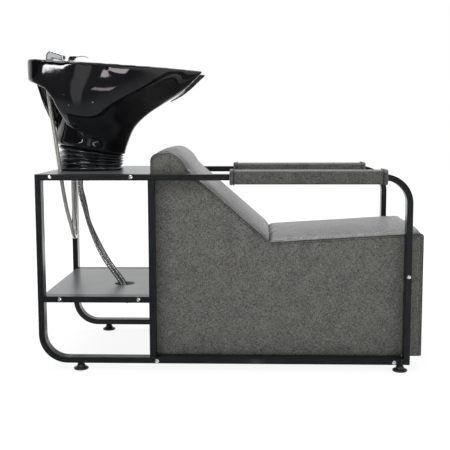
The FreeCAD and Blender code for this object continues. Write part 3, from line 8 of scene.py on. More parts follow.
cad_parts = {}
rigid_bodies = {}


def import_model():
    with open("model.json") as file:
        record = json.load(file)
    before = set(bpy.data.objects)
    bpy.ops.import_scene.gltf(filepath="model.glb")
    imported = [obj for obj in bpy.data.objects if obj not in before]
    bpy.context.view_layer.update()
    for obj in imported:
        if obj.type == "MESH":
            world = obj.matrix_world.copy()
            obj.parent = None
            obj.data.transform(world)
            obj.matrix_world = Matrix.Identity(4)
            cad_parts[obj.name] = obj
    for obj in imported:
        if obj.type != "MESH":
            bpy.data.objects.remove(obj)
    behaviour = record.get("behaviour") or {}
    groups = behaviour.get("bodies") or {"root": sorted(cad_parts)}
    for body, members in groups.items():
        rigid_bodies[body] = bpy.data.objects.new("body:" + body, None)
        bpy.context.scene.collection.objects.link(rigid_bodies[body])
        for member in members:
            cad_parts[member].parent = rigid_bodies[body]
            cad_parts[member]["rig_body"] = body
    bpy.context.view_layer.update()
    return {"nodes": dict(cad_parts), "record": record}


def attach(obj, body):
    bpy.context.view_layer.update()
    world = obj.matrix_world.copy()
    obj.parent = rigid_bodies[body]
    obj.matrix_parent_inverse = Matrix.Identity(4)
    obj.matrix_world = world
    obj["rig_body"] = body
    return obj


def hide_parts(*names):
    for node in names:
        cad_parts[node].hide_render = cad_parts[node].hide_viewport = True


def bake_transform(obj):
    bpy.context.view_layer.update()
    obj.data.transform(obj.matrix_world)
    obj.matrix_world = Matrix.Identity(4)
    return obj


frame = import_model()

nodes = frame["nodes"]
scene = bpy.context.scene
railMiddle = 609.5  # row origin, in mm from the rear face of the rear posts


def place(x, y, z):
    # a point in mm, with x from the rear posts, as a point of the row in metres
    return Vector(((x - railMiddle) / 1000, y / 1000, z / 1000))


# finishes

class Wire:
    # one output of a node, which can take part in sums
    def __init__(self, finish, socket):
        self.finish = finish
        self.socket = socket

    def maths(self, operation, *others):
        inputs = {0: self}
        for index, other in enumerate(others, 1):
            inputs[index] = other
        return self.finish.add("ShaderNodeMath", {"operation": operation}, inputs)

    def __add__(self, other): return self.maths("ADD", other)
    def __radd__(self, other): return self.maths("ADD", other)
    def __sub__(self, other): return self.maths("SUBTRACT", other)
    def __rsub__(self, other): return self.maths("MULTIPLY", -1.0) + other
    def __mul__(self, other): return self.maths("MULTIPLY", other)
    def __rmul__(self, other): return self.maths("MULTIPLY", other)
    def __truediv__(self, other): return self.maths("DIVIDE", other)
    def __pow__(self, other): return self.maths("POWER", other)


class Board:
    # a node tree filled by expressions
    def __init__(self, tree):
        self.tree = tree

    def feed(self, socket, value):
        if isinstance(value, Wire):
            self.tree.links.new(value.socket, socket)
        else:
            socket.default_value = value

    def add(self, kind, settings=None, inputs=None, output=0):
        node = self.tree.nodes.new(kind)
        for name, value in (settings or {}).items():
            setattr(node, name, value)
        for name, value in (inputs or {}).items():
            self.feed(node.inputs[name], value)
        return Wire(self, node.outputs[output])

    def between(self, value, low, high):
        # 0 below low, 1 above high
        return self.add("ShaderNodeMapRange", {"clamp": True, "interpolation_type": "SMOOTHSTEP"}, {
            "Value": value, "From Min": low, "From Max": high})

    def mixed(self, factor, first, second):
        return self.add("ShaderNodeMix", {"data_type": "RGBA"}, {0: factor, 6: first, 7: second}, 2)

    def parts(self, vector):
        split = self.tree.nodes.new("ShaderNodeSeparateXYZ")
        self.feed(split.inputs[0], vector)
        return [Wire(self, socket) for socket in split.outputs]

    def inside(self, value, low, high, soft):
        return self.between(value, low - soft, low + soft) * (
            1 - self.between(value, high - soft, high + soft))

    def ray(self, kind):
        return self.add("ShaderNodeLightPath", output=kind)


class Finish(Board):
    # a material with one Principled shader
    def __init__(self, name, colour, roughness, metallic=0.0, coat=0.0, ior=1.5, sheen=0.0):
        self.material = bpy.data.materials.new(name)
        self.material.use_nodes = True
        super().__init__(self.material.node_tree)
        self.shader = self.tree.nodes["Principled BSDF"]
        self.set("Base Color", (*colour, 1))
        self.set("Roughness", roughness)
        self.set("Metallic", metallic)
        self.set("Coat Weight", coat)
        self.set("IOR", ior)
        self.set("Sheen Weight", sheen)

    def set(self, name, value):
        self.feed(self.shader.inputs[name], value)

    def where(self, stretch=(1, 1, 1), shift=(0, 0, 0)):
        spot = self.add("ShaderNodeTexCoord", output="Object")
        return self.add("ShaderNodeMapping", {}, {
            "Vector": spot, "Scale": stretch, "Location": shift})

    def grain(self, scale, detail=2.0, stretch=(1, 1, 1), shift=(0, 0, 0), roughness=0.5):
        return self.add("ShaderNodeTexNoise", {}, {
            "Vector": self.where(stretch, shift), "Scale": scale, "Detail": detail,
            "Roughness": roughness})

    def tint(self, factor, first, second):
        self.set("Base Color", self.mixed(factor, (*first, 1), (*second, 1)))

    def bump(self, height, distance, strength=1.0):
        self.set("Normal", self.add("ShaderNodeBump", {}, {
            "Height": height, "Distance": distance, "Strength": strength}))

    def along(self):
        # distance along a hose in metres and turns round it, from its own map
        return self.parts(self.add("ShaderNodeUVMap", {"uv_map": "hoseMap"}))[:2]


def satinBlack():
    look = Finish("satinBlackPowder", (0.007, 0.009, 0.010), 0.34, ior=1.34)
    peel = look.grain(900, 2)
    cloud = look.grain(14, 3)
    look.tint(look.between(cloud, 0.3, 0.75), (0.004, 0.0056, 0.0066), (0.008, 0.0105, 0.012))
    look.set("Roughness", 0.27 + 0.14 * cloud)
    look.bump(peel, 0.00012, 0.6)
    return look


def blackGlaze():
    look = Finish("blackGlaze", (0.004, 0.004, 0.005), 0.045, ior=1.52)
    wave = look.grain(16, 1)
    dust = look.grain(260, 2)
    look.tint(look.between(wave, 0.3, 0.7), (0.003, 0.003, 0.004), (0.006, 0.006, 0.007))
    look.set("Roughness", 0.035 + 0.05 * look.between(dust, 0.55, 0.8))
    look.bump(wave, 0.0012, 0.25)
    return look


def linenLeather(name, shade, gloss=0.36, warmth=0.97):
    # a printed linen look: short crossed streaks, fine threads and dark flecks
    look = Finish(name, (shade, shade, shade), 0.6, sheen=0.12)
    look.set("Sheen Roughness", 0.4)
    streak = (look.grain(1.0, 2, (95, 420, 420), roughness=0.65)
              + look.grain(1.0, 2, (420, 95, 420), (3, 7, 1), 0.65)
              + look.grain(1.0, 2, (420, 420, 95), (5, 2, 9), 0.65)) / 3.0
    thread = (look.grain(1.0, 1, (130, 900, 900), (1, 1, 4))
              + look.grain(1.0, 1, (900, 130, 900), (2, 8, 3))
              + look.grain(1.0, 1, (900, 900, 130), (6, 2, 5))) / 3.0
    patch = look.grain(24, 3, roughness=0.6)
    fleck = look.between(look.grain(170, 3, roughness=0.8), 0.56, 0.62)
    tone = look.between(streak * 0.74 + thread * 0.2 + patch * 0.1, 0.45, 0.6)
    light, dark = shade * 1.8, shade * 0.46
    base = look.mixed(tone, (dark, dark, dark * warmth, 1), (light, light, light * warmth, 1))
    ink = (shade * 0.16, shade * 0.17, shade * 0.18, 1)
    look.set("Base Color", look.mixed(fleck * 0.8, base, ink))
    look.set("Roughness", gloss + 0.26 * streak)
    look.bump(streak * 0.6 + thread * 0.5 - fleck * 0.4, 0.0008, 0.5)
    return look


def greyBoard():
    look = Finish("greyBoard", (0.15, 0.165, 0.17), 0.3)
    speck = look.grain(700, 2)
    cloud = look.grain(9, 3)
    mottle = look.between(cloud * 0.6 + speck * 0.4, 0.35, 0.65)
    look.tint(mottle, (0.12, 0.135, 0.14), (0.18, 0.195, 0.2))
    look.set("Roughness", 0.24 + 0.14 * cloud)
    look.bump(speck, 0.0001, 0.5)
    return look


def chrome():
    look = Finish("chrome", (0.78, 0.79, 0.8), 0.07, metallic=1.0)
    smear = look.grain(38, 3)
    look.tint(look.between(smear, 0.3, 0.7), (0.72, 0.73, 0.74), (0.83, 0.84, 0.85))
    look.set("Roughness", 0.05 + 0.09 * look.between(smear, 0.4, 0.8))
    look.bump(look.grain(90, 1), 0.0001, 0.4)
    return look


# chrome with a darker base colour: a painted dark reflection, for the lever and the hand shower's
# outline
def darkChrome():
    look = Finish("darkChrome", (0.2, 0.2, 0.21), 0.1, metallic=1.0)
    smear = look.grain(45, 3)
    look.tint(look.between(smear, 0.35, 0.65), (0.12, 0.12, 0.13), (0.34, 0.34, 0.35))
    look.set("Roughness", 0.07 + 0.1 * look.between(smear, 0.4, 0.8))
    return look


def seamThread():
    look = Finish("seamThread", (0.02, 0.02, 0.021), 0.7)
    twist = look.grain(900, 2)
    look.tint(look.between(twist, 0.35, 0.65), (0.012, 0.012, 0.013), (0.036, 0.036, 0.037))
    return look


def zinc():
    look = Finish("zincPlate", (0.5, 0.5, 0.49), 0.34, metallic=1.0)
    cloud = look.grain(120, 3)
    look.tint(look.between(cloud, 0.3, 0.7), (0.42, 0.42, 0.4), (0.6, 0.6, 0.6))
    look.set("Roughness", 0.26 + 0.2 * cloud)
    look.bump(cloud, 0.0002, 0.4)
    return look


def plainSteel():
    look = Finish("darkNut", (0.1, 0.1, 0.105), 0.35, metallic=0.9)
    cloud = look.grain(150, 2)
    look.tint(look.between(cloud, 0.3, 0.7), (0.06, 0.06, 0.065), (0.17, 0.17, 0.175))
    look.set("Roughness", 0.28 + 0.2 * cloud)
    return look


def mouldedBlack():
    look = Finish("mouldedBlack", (0.014, 0.014, 0.015), 0.4)
    pit = look.grain(850, 2)
    look.tint(look.between(pit, 0.3, 0.7), (0.010, 0.010, 0.011), (0.02, 0.02, 0.021))
    look.set("Roughness", 0.3 + 0.2 * pit)
    look.bump(pit, 0.00015, 0.5)
    return look


def bellowsRubber():
    look = Finish("bellowsRubber", (0.009, 0.010, 0.012), 0.2, ior=1.55)
    smear = look.grain(22, 4, (1, 1, 3))
    look.tint(look.between(smear, 0.4, 0.7), (0.006, 0.007, 0.009), (0.017, 0.019, 0.023))
    look.set("Roughness", 0.1 + 0.2 * look.between(smear, 0.35, 0.75))
    look.bump(look.grain(46, 2, (1, 1, 2)), 0.0012, 0.4)
    return look


def creamHose():
    look = Finish("creamHose", (0.52, 0.52, 0.48), 0.24, metallic=0.55)
    along = look.along()[0]
    ring = (along * (math.tau / 0.0021)).maths("SINE") * 0.5 + 0.5
    look.tint(ring, (0.36, 0.36, 0.33), (0.66, 0.66, 0.62))
    look.set("Roughness", 0.2 + 0.1 * look.grain(60, 2))
    look.bump(ring, 0.0003, 0.6)
    return look


def braid():
    look = Finish("steelBraid", (0.5, 0.5, 0.5), 0.3, metallic=1.0)
    along, turns = look.along()
    pitch = along * (math.tau / 0.0085)
    lift = turns * (math.tau * 6)
    first = (pitch + lift).maths("SINE") * 0.5 + 0.5
    second = (pitch - lift).maths("SINE") * 0.5 + 0.5
    weave = first.maths("MAXIMUM", second)
    gap = look.between(weave, 0.35, 0.8)
    look.tint(gap, (0.07, 0.07, 0.075), (0.62, 0.62, 0.61))
    look.set("Roughness", 0.42 - 0.18 * gap)
    look.bump(weave, 0.0006, 0.8)
    return look


def plainBrass():
    look = Finish("plainBrass", (0.6, 0.43, 0.18), 0.3, metallic=1.0)
    cloud = look.grain(90, 3)
    look.tint(look.between(cloud, 0.3, 0.7), (0.5, 0.34, 0.13), (0.68, 0.5, 0.24))
    look.set("Roughness", 0.24 + 0.2 * cloud)
    return look


def rawPly():
    look = Finish("rawPly", (0.45, 0.33, 0.2), 0.6)
    ring = look.grain(14, 4, (1, 9, 9))
    look.tint(look.between(ring, 0.35, 0.65), (0.36, 0.25, 0.14), (0.55, 0.42, 0.27))
    look.bump(ring, 0.0003, 0.5)
    return look


def softFoam():
    look = Finish("softFoam", (0.2, 0.2, 0.2), 0.9)
    pore = look.grain(420, 2)
    look.tint(look.between(pore, 0.35, 0.65), (0.13, 0.13, 0.13), (0.27, 0.27, 0.27))
    look.bump(pore, 0.0006, 0.6)
    return look


finishes = {
    "powder_coat": satinBlack(), "black_glaze": blackGlaze(),
    "leatherette": linenLeather("linenLeather", 0.122, 0.3, 1.0),
    "leatherette_side": linenLeather("linenLeatherSide", 0.112, warmth=0.9),
    "sleeve_leather": linenLeather("linenLeatherSleeve", 0.072, warmth=0.94),
    "seam": seamThread(), "dark_chrome": darkChrome(),
    "foam": softFoam(), "plywood": rawPly(), "grey_board": greyBoard(),
    "black_plastic": mouldedBlack(), "black_rubber": bellowsRubber(), "zinc_steel": zinc(),
    "chrome_steel": chrome(), "brass_nut": plainBrass(), "cream_hose": creamHose(),
    "braided_steel": braid(), "dark_nut": plainSteel(),
}
print("finishes made:", len(finishes))


def dress(piece, slotName, finish=None):
    piece.data.materials.clear()
    piece.data.materials.append(finishes[finish or slotName].material)


# every CAD node that stays gets its finish
slotOf = {part["node"]: part["material_slot"] for part in frame["record"]["subparts"]}
for name, node in nodes.items():
    node.data.materials.clear()
    node.data.materials.append(finishes[slotOf[name]].material)
nodes["supply_nuts"].data.materials[0] = finishes["dark_nut"].material


# tools of the bench

def pick(piece):
    bpy.ops.object.select_all(action="DESELECT")
    piece.select_set(True)
    bpy.context.view_layer.objects.active = piece


def copyOf(nodeName, name):
    # a merged copy of a CAD node, ready to be shaped
    piece = bpy.data.objects.new(name, nodes[nodeName].data.copy())
    scene.collection.objects.link(piece)
    pick(piece)
    bpy.ops.mesh.customdata_custom_splitnormals_clear()
    bpy.ops.object.mode_set(mode="EDIT")
    bpy.ops.mesh.select_all(action="SELECT")
    bpy.ops.mesh.remove_doubles(threshold=0.00002)
    bpy.ops.object.mode_set(mode="OBJECT")
    return piece


def modify(piece, kind, **settings):
    pick(piece)
    modifier = piece.modifiers.new(kind.lower(), kind)
    for name, value in settings.items():
        setattr(modifier, name, value)
    bpy.ops.object.modifier_apply(modifier=modifier.name)


def remesh(piece, voxel):
    modify(piece, "REMESH", mode="VOXEL", voxel_size=voxel, use_smooth_shade=True)


def smoothShade(piece, angle=None):
    pick(piece)
    if angle is None:
        bpy.ops.object.shade_smooth()
    else:
        bpy.ops.object.shade_smooth_by_angle(angle=math.radians(angle))


def soften(nodeName, name, slotName, width, segments=2, limit=30, finish=None):
    # a copy of a hard piece whose edges get a small round
    piece = copyOf(nodeName, name)
    modify(piece, "DECIMATE", decimate_type="DISSOLVE", angle_limit=math.radians(1.0))
    modify(piece, "BEVEL", width=width, segments=segments, limit_method="ANGLE",
           angle_limit=math.radians(limit), use_clamp_overlap=True)
    smoothShade(piece, 35)
    dress(piece, slotName, finish)
    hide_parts(nodeName)
    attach(piece, nodes[nodeName]["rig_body"])
    return piece


def lineThrough(name, points):
    # the smooth line of a hose: a NURBS spline with the route's points as its control points
    curve = bpy.data.curves.new(name + "Route", "CURVE")
    curve.dimensions = "3D"
    spline = curve.splines.new("NURBS")
    spline.points.add(len(points) - 1)
    for spot, point in zip(spline.points, points):
        spot.co = (*point, 1)
    spline.order_u = 3
    spline.use_endpoint_u = True
    curve.resolution_u = 14
    holder = bpy.data.objects.new(name + "Route", curve)
    scene.collection.objects.link(holder)
    bpy.context.view_layer.update()
    mesh = bpy.data.meshes.new_from_object(holder)
    line = [vertex.co.copy() for vertex in mesh.vertices]
    bpy.data.objects.remove(holder)
    bpy.data.meshes.remove(mesh)
    bpy.data.curves.remove(curve)
    return line


def hoseAlong(name, points, radius, around=20):
    # a mesh tube on that line, with its own map of distance and turns
    line = lineThrough(name, points)
    build = bmesh.new()
    layer = build.loops.layers.uv.new("hoseMap")
    way = (line[1] - line[0]).normalized()
    side = way.orthogonal().normalized()
    rings = []
    reach = 0.0
    reaches = []
    for k, spot in enumerate(line):
        ahead = line[min(k + 1, len(line) - 1)] - line[max(k - 1, 0)]
        newWay = ahead.normalized()
        side = (side - newWay * side.dot(newWay)).normalized()
        other = newWay.cross(side)
        if k:
            reach += (spot - line[k - 1]).length
        reaches.append(reach)
        rings.append([build.verts.new(spot + radius * (
            math.cos(math.tau * j / around) * side + math.sin(math.tau * j / around) * other))
            for j in range(around)])
    for k in range(len(rings) - 1):
        for j in range(around):
            n = (j + 1) % around
            face = build.faces.new((rings[k][j], rings[k][n], rings[k + 1][n], rings[k + 1][j]))
            face.smooth = True
            for loop, (a, b) in zip(face.loops, ((k, j), (k, j + 1), (k + 1, j + 1), (k + 1, j))):
                loop[layer].uv = (reaches[a], b / around)
    build.faces.new(list(reversed(rings[0])))
    build.faces.new(rings[-1])
    mesh = bpy.data.meshes.new(name)
    build.to_mesh(mesh)
    build.free()
    piece = bpy.data.objects.new(name, mesh)
    scene.collection.objects.link(piece)
    return piece, line, reach


# camera, first, because the cords are judged by it: place in metres, turns in degrees

cameraShape = {"lens": 66.72, "sensor": 36, "at": (0.0985, -2.966, 0.801),
               "turns": ((1.944, "Z"), (83.292, "X"), (-0.147, "Z"))}
camera = bpy.data.objects.new("roomCamera", bpy.data.cameras.new("roomCamera"))
scene.collection.objects.link(camera)
camera.data.lens = cameraShape["lens"]
camera.data.sensor_width = cameraShape["sensor"]
pan, pitch, roll = [Matrix.Rotation(math.radians(angle), 4, axis)
                    for angle, axis in cameraShape["turns"]]
camera.matrix_world = Matrix.Translation(cameraShape["at"]) @ (pan @ pitch @ roll)
scene.camera = camera
print("camera set")


# hoses: the route's points in mm, x from the rear posts

hoses = {
    "showerHose": {
        "node": "shower_hose", "slot": "cream_hose", "radius": 0.007, "stiffness": "medium",
        "end": "object", "blend": (650, 950), "route": [
            (6.04, -85, 985.97), (4.43, -85, 958.0), (1.5, -85, 928), (37, -87, 661),
            (43.5, -91, 608), (52.5, -95.5, 556), (62, -99, 508), (77.5, -103, 454),
            (78, -81, 423.7), (76.5, -45.5, 412.2), (72, -10, 423.7), (66, 12, 454),
            (62.5, 13, 490), (61, 13, 530), (62, 12, 568), (62, 12, 604)]},
    "hotSupplyHose": {
        "node": "supply_hose_hot", "slot": "braided_steel", "radius": 0.0065,
        "stiffness": "medium", "end": "connector", "route": [
            (77.5, 32, 604), (77.5, 32, 578), (86, 27, 542), (99, 19, 505), (112, 8, 462),
            (131, -6, 414), (153, -22, 369), (177, -36, 330), (204, -46, 297), (228, -53, 266),
            (245, -58, 239), (256, -61, 216), (261, -62, 197)]},
    "coldSupplyHose": {
        "node": "supply_hose_cold", "slot": "braided_steel", "radius": 0.0065,
        "stiffness": "medium", "end": "connector", "route": [
            (82.5, 50, 604), (82.5, 50, 578), (93, 45, 545), (102, 37, 506), (112, 25, 463),
            (134, 10, 420), (158, -5, 377), (186, -20, 332), (213, -31, 297), (240, -39, 264),
            (257, -44, 237), (268, -46.5, 214), (273, -48, 195)]},
    "returnTail": {
        "node": "mixer_tails", "slot": "braided_steel", "radius": 0.0045, "stiffness": "medium",
        "end": "object", "blend": (672, 940), "route": [
            (36.4, 85.5, 974.2), (34.7, 85.5, 944.9), (34.6, 90.3, 895), (32.6, 92.5, 850),
            (33.2, 91.7, 812), (39.3, 85.1, 780), (50.8, 72.5, 757), (62.2, 60, 736),
            (69, 52.6, 713), (66.5, 38.4, 699), (63.4, 20.1, 682), (62, 12, 669), (62, 12, 655)]},
    "hotTail": {
        "node": "mixer_tails", "slot": "braided_steel", "radius": 0.0045, "stiffness": "medium",
        "end": "object", "blend": (672, 940), "route": [
            (43.5, 92, 973.8), (41.8, 92, 944.5), (41.7, 96.7, 895), (39.6, 99, 850),
            (40.3, 98.2, 812), (46.4, 91.6, 780), (57.9, 79, 757), (69.3, 66.5, 736),
            (76.1, 59.1, 713), (76.6, 49.6, 699), (77.2, 37.4, 682), (77.5, 32, 669),
            (77.5, 32, 655)]},
    "coldTail": {
        "node": "mixer_tails", "slot": "braided_steel", "radius": 0.0045, "stiffness": "medium",
        "end": "object", "blend": (672, 940), "route": [
            (50.5, 98.5, 973.4), (48.8, 98.5, 944.1), (48.8, 103.2, 895), (46.7, 105.4, 850),
            (47.4, 104.7, 812), (53.5, 98, 780), (64.9, 85.5, 757), (76.4, 72.9, 736),
            (83.1, 65.6, 713), (82.9, 60.1, 699), (82.6, 53.1, 682), (82.5, 50, 669),
            (82.5, 50, 655)]},
}
for name, hose in hoses.items():
    piece, line, reach = hoseAlong(name, [place(*p) for p in hose["route"]], hose["radius"])
    dress(piece, hose["slot"])
    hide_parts(hose["node"])
    if "blend" in hose:
        low, high = hose["blend"]
        place(0, 0, low)
        place(0, 0, high)
        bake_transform(piece)
    else:
        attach(piece, "frame")
    print(name, "is", round(reach, 3), "m long")

# the hose's upper end comes out of the holder with the hand shower; at rest it is inside the hose
hoseTop = {"slot": "cream_hose", "radius": 0.0062, "body": "hand_shower", "route": [
    (6.33, -85, 991), (5.46, -85, 976), (4.02, -85, 951), (2.58, -85, 926)]}
hoseEnd = hoseAlong("showerHoseTop", [place(*p) for p in hoseTop["route"]], hoseTop["radius"])[0]
dress(hoseEnd, hoseTop["slot"])
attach(hoseEnd, hoseTop["body"])


# basin: the casting and its bowl as one piece with rounded glaze edges. Each range is where a
# weight grows from 0 to 1: x in mm from the rear posts, y and z in metres

basinShape = {
    "voxel": 0.003, "smoothing": 20, "keep": 0.46, "swell": 0.0009, "bowlSwell": 0.0004,
    "horns": {"x": (478, 520), "z": (0.905, 0.935), "stretch": 0.0085, "smoothing": 46},
    "rear": {"x": (-46, 60), "stretch": 0.004, "lift": 0.003},
    "crease": {"x": (15, 50), "xEnd": (210, 260), "z": (0.714, 0.728), "zEnd": (0.825, 0.875),
               "y": (0.045, 0.07), "smoothing": 150},
}


def gatherVertices(piece, name, weigh):
    # a vertex group whose weights come from each point's place
    group = piece.vertex_groups.new(name=name)
    for vertex in piece.data.vertices:
        weight = weigh(vertex.co)
        if weight > 0:
            group.add([vertex.index], weight, "REPLACE")


def ramp(value, low, high):
    share = max(0.0, min(1.0, (value - low) / (high - low)))
    return share * share * (3 - 2 * share)


def creaseWeight(spot):
    # the skirt's lower edge, which fades into the column
    crease = basinShape["crease"]
    x = spot.x * 1000 + railMiddle
    return (ramp(x, *crease["x"]) * (1 - ramp(x, *crease["xEnd"]))
            * ramp(spot.z, *crease["z"]) * (1 - ramp(spot.z, *crease["zEnd"]))
            * ramp(abs(spot.y), *crease["y"]))


def rearWeight(spot):
    return 1 - ramp(spot.x * 1000 + railMiddle, *basinShape["rear"]["x"])


def hornWeight(spot):
    horns = basinShape["horns"]
    return ramp(spot.x * 1000 + railMiddle, *horns["x"]) * ramp(spot.z, *horns["z"])


basin = copyOf("basin", "blackBasin")
bowlShell = copyOf("basin_bowl", "bowlShell")
modify(bowlShell, "DISPLACE", strength=basinShape["bowlSwell"], mid_level=0)
pick(basin)
bowlShell.select_set(True)
bpy.ops.object.join()
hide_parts("basin_bowl")
remesh(basin, basinShape["voxel"])
for vertex in basin.data.vertices:
    horn, rear = hornWeight(vertex.co), rearWeight(vertex.co)
    vertex.co.x += basinShape["horns"]["stretch"] * horn - basinShape["rear"]["stretch"] * rear
    vertex.co.z += basinShape["rear"]["lift"] * rear
modify(basin, "SMOOTH", factor=0.5, iterations=basinShape["smoothing"])
for part, weigh in (("crease", creaseWeight), ("horns", hornWeight)):
    gatherVertices(basin, part, weigh)
    modify(basin, "SMOOTH", factor=0.5, iterations=basinShape[part]["smoothing"],
           vertex_group=part)
modify(basin, "DISPLACE", strength=basinShape["swell"], mid_level=0)
modify(basin, "DECIMATE", ratio=basinShape["keep"])
modify(basin, "SMOOTH", factor=0.4, iterations=2)
smoothShade(basin)
dress(basin, "black_glaze")
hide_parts("basin")
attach(basin, "basin_unit")
print("basin done,", len(basin.data.polygons), "faces")


# bellows: uneven glossy ribs between the plate and the column's foot

bellowsShape = {
    "ribs": 5, "steps": 12, "around": 160, "valley": 0.1055, "peak": 0.1168, "wall": 0.0022,
    "middle": 130, "low": 650, "high": 725, "lean": 9.1, "roundness": 0.8,
    "drift": {"size": 0.62, "round": 1.1, "up": 1.4},
    "shallow": {"size": 0.5, "round": 1.7, "up": 4, "shift": (7, 3), "range": (-0.3, 0.5)},
    "blend": (655, 722),
}


def makeBellows(shape):
    build = bmesh.new()
    rings = []
    count = shape["ribs"] * shape["steps"]
    drift, shallow = shape["drift"], shape["shallow"]
    for k in range(count + 1):
        share = k / count
        tilt = Euler((0, math.radians(shape["lean"]) * share, 0)).to_matrix()
        height = shape["low"] + (shape["high"] - shape["low"]) * share
        middle = place(shape["middle"], 0, height)
        ring = []
        for j in range(shape["around"]):
            angle = math.tau * j / shape["around"]
            way = Vector((math.cos(angle), math.sin(angle), 0))
            sway = noise.noise(way * drift["round"] + Vector((0, 0, share * drift["up"])))
            phase = (share * shape["ribs"]
                     + sway * drift["size"] * math.sin(math.pi * share) ** 0.5)
            bulge = abs(math.sin(math.pi * phase)) ** shape["roundness"]
            dip = noise.noise(way * shallow["round"]
                              + Vector((*shallow["shift"], share * shallow["up"])))
            depth = 1 - shallow["size"] * ramp(dip, *shallow["range"])
            radius = shape["valley"] + (shape["peak"] - shape["valley"]) * bulge * depth
            ring.append(build.verts.new(middle + tilt @ (way * radius)))
        rings.append(ring)
    for k in range(count):
        for j in range(shape["around"]):
            n = (j + 1) % shape["around"]
            build.faces.new((rings[k][j], rings[k][n], rings[k + 1][n], rings[k + 1][j]))
    mesh = bpy.data.meshes.new("rubberBellows")
    build.to_mesh(mesh)
    build.free()
    piece = bpy.data.objects.new("rubberBellows", mesh)
    scene.collection.objects.link(piece)
    modify(piece, "SOLIDIFY", thickness=shape["wall"], offset=-1)
    smoothShade(piece)
    return piece


bellows = makeBellows(bellowsShape)
dress(bellows, "black_rubber")
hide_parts("bellows")
low, high = [place(bellowsShape["middle"], 0, z) for z in bellowsShape["blend"]]
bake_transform(bellows)
print("bellows done")


# upholstery

softShape = {"voxel": 0.006, "pressure": 4.0, "cap": 0.006, "steps": 16, "halfWidth": 0.2358}


def inflate(piece, shape):
    # the cover swells over its filling, and no point goes further than the cap
    rest = [vertex.co.copy() for vertex in piece.data.vertices]
    pick(piece)
    cloth = piece.modifiers.new("cloth", "CLOTH")
    cloth.settings.use_pressure = True
    cloth.settings.uniform_pressure_force = shape["pressure"]
    cloth.settings.effector_weights.gravity = 0
    cloth.settings.quality = 5
    cloth.settings.tension_stiffness = 20
    cloth.settings.bending_stiffness = 1.5
    cloth.point_cache.frame_start = 1
    cloth.point_cache.frame_end = shape["steps"]
    for step in range(1, shape["steps"] + 1):
        scene.frame_set(step)
    bpy.ops.object.modifier_apply(modifier="cloth")
    for vertex, start in zip(piece.data.vertices, rest):
        move = vertex.co - start
        if move.length > shape["cap"]:
            vertex.co = start + move.normalized() * shape["cap"]
    scene.frame_set(1)


def keepInside(piece, halfWidth):
    for vertex in piece.data.vertices:
        vertex.co.y = max(-halfWidth, min(halfWidth, vertex.co.y))


def cushion(nodeName, name, slotName):
    piece = copyOf(nodeName, name)
    remesh(piece, softShape["voxel"])
    inflate(piece, softShape)
    modify(piece, "SMOOTH", factor=0.5, iterations=3)
    keepInside(piece, softShape["halfWidth"])
    smoothShade(piece)
    dress(piece, slotName)
    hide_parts(nodeName)
    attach(piece, "frame")


cushion("back_cushion", "backPad", "leatherette")
cushion("seat_cushion", "seatPad", "leatherette")
print("cushions done")


def panel(nodeName, name, slotName, voxel=0.0045, finish=None):
    piece = copyOf(nodeName, name)
    remesh(piece, voxel)
    modify(piece, "SMOOTH", factor=0.5, iterations=3)
    smoothShade(piece)
    dress(piece, slotName, finish)
    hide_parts(nodeName)
    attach(piece, "frame")
    return piece


sidePanels = [panel("side_cover_" + side, "sidePanel_" + side, "leatherette_side")
              for side in ("near", "far")]
panel("front_cover", "frontPanel", "leatherette_side")
panel("rear_cover", "rearPanel", "leatherette_side")
armSleeves = [panel("arm_cover_" + side, "armSleeve_" + side, "leatherette", 0.0022,
                    "sleeve_leather") for side in ("near", "far")]
print("panels and sleeves done")


# seams: the outline of the seat's side in mm, x from the rear posts, from the rear's foot
# over the hump and the seat to the front's foot; arcs are given by their middle points

def arcThrough(first, middle, last, count=9):
    (ax, az), (bx, bz), (cx, cz) = first, middle, last
    area = 2 * (ax * (bz - cz) + bx * (cz - az) + cx * (az - bz))
    a2, b2, c2 = ax * ax + az * az, bx * bx + bz * bz, cx * cx + cz * cz
    hubX = (a2 * (bz - cz) + b2 * (cz - az) + c2 * (az - bz)) / area
    hubZ = (a2 * (cx - bx) + b2 * (ax - cx) + c2 * (bx - ax)) / area
    radius = math.hypot(ax - hubX, az - hubZ)
    start = math.atan2(az - hubZ, ax - hubX)
    through = math.atan2(bz - hubZ, bx - hubX)
    end = math.atan2(cz - hubZ, cx - hubX)
    while through > start:
        through -= math.tau
    while end > through:
        end -= math.tau
    angles = [start + (end - start) * k / (count - 1) for k in range(count)]
    return [(hubX + radius * math.cos(angle), hubZ + radius * math.sin(angle))
            for angle in angles]


seamShape = {"floor": 46, "welt": 0.0013, "weltInset": 1.5, "stitch": 0.001,
             "stitchLength": 0.0048, "pitch": 0.0066, "stitchInset": 9.0}
sleeveSeam = {"inset": 0.0128, "slice": 0.004, "steps": 40, "cone": 0.99, "least": 0.025}
sideLine = ([(372, seamShape["floor"])] + arcThrough((372, 684.5), (376.2, 704.2), (409, 715))
            + arcThrough((409, 715), (427.6, 716.6), (440, 717))
            + arcThrough((440, 717), (472.2, 694.1), (492, 662.5))
            + [(492 + 27.1 * k, 662.5 - 23.75 * k) for k in range(1, 10)]
            + [(763, 425)] + [(763 + 49 * k, 425 + 3 * k) for k in range(1, 10)]
            + arcThrough((1253, 455), (1261.5, 451.5), (1265, 443), 5)
            + [(1265, seamShape["floor"])])


def insetLine(line, gap):
    # the line moved to its right-hand side, which is towards the panel's middle
    moved = []
    for k, (x, z) in enumerate(line):
        bx, bz = line[max(k - 1, 0)]
        cx, cz = line[min(k + 1, len(line) - 1)]
        size = math.hypot(cx - bx, cz - bz) or 1.0
        moved.append((x + gap * (cz - bz) / size, z - gap * (cx - bx) / size))
    return moved


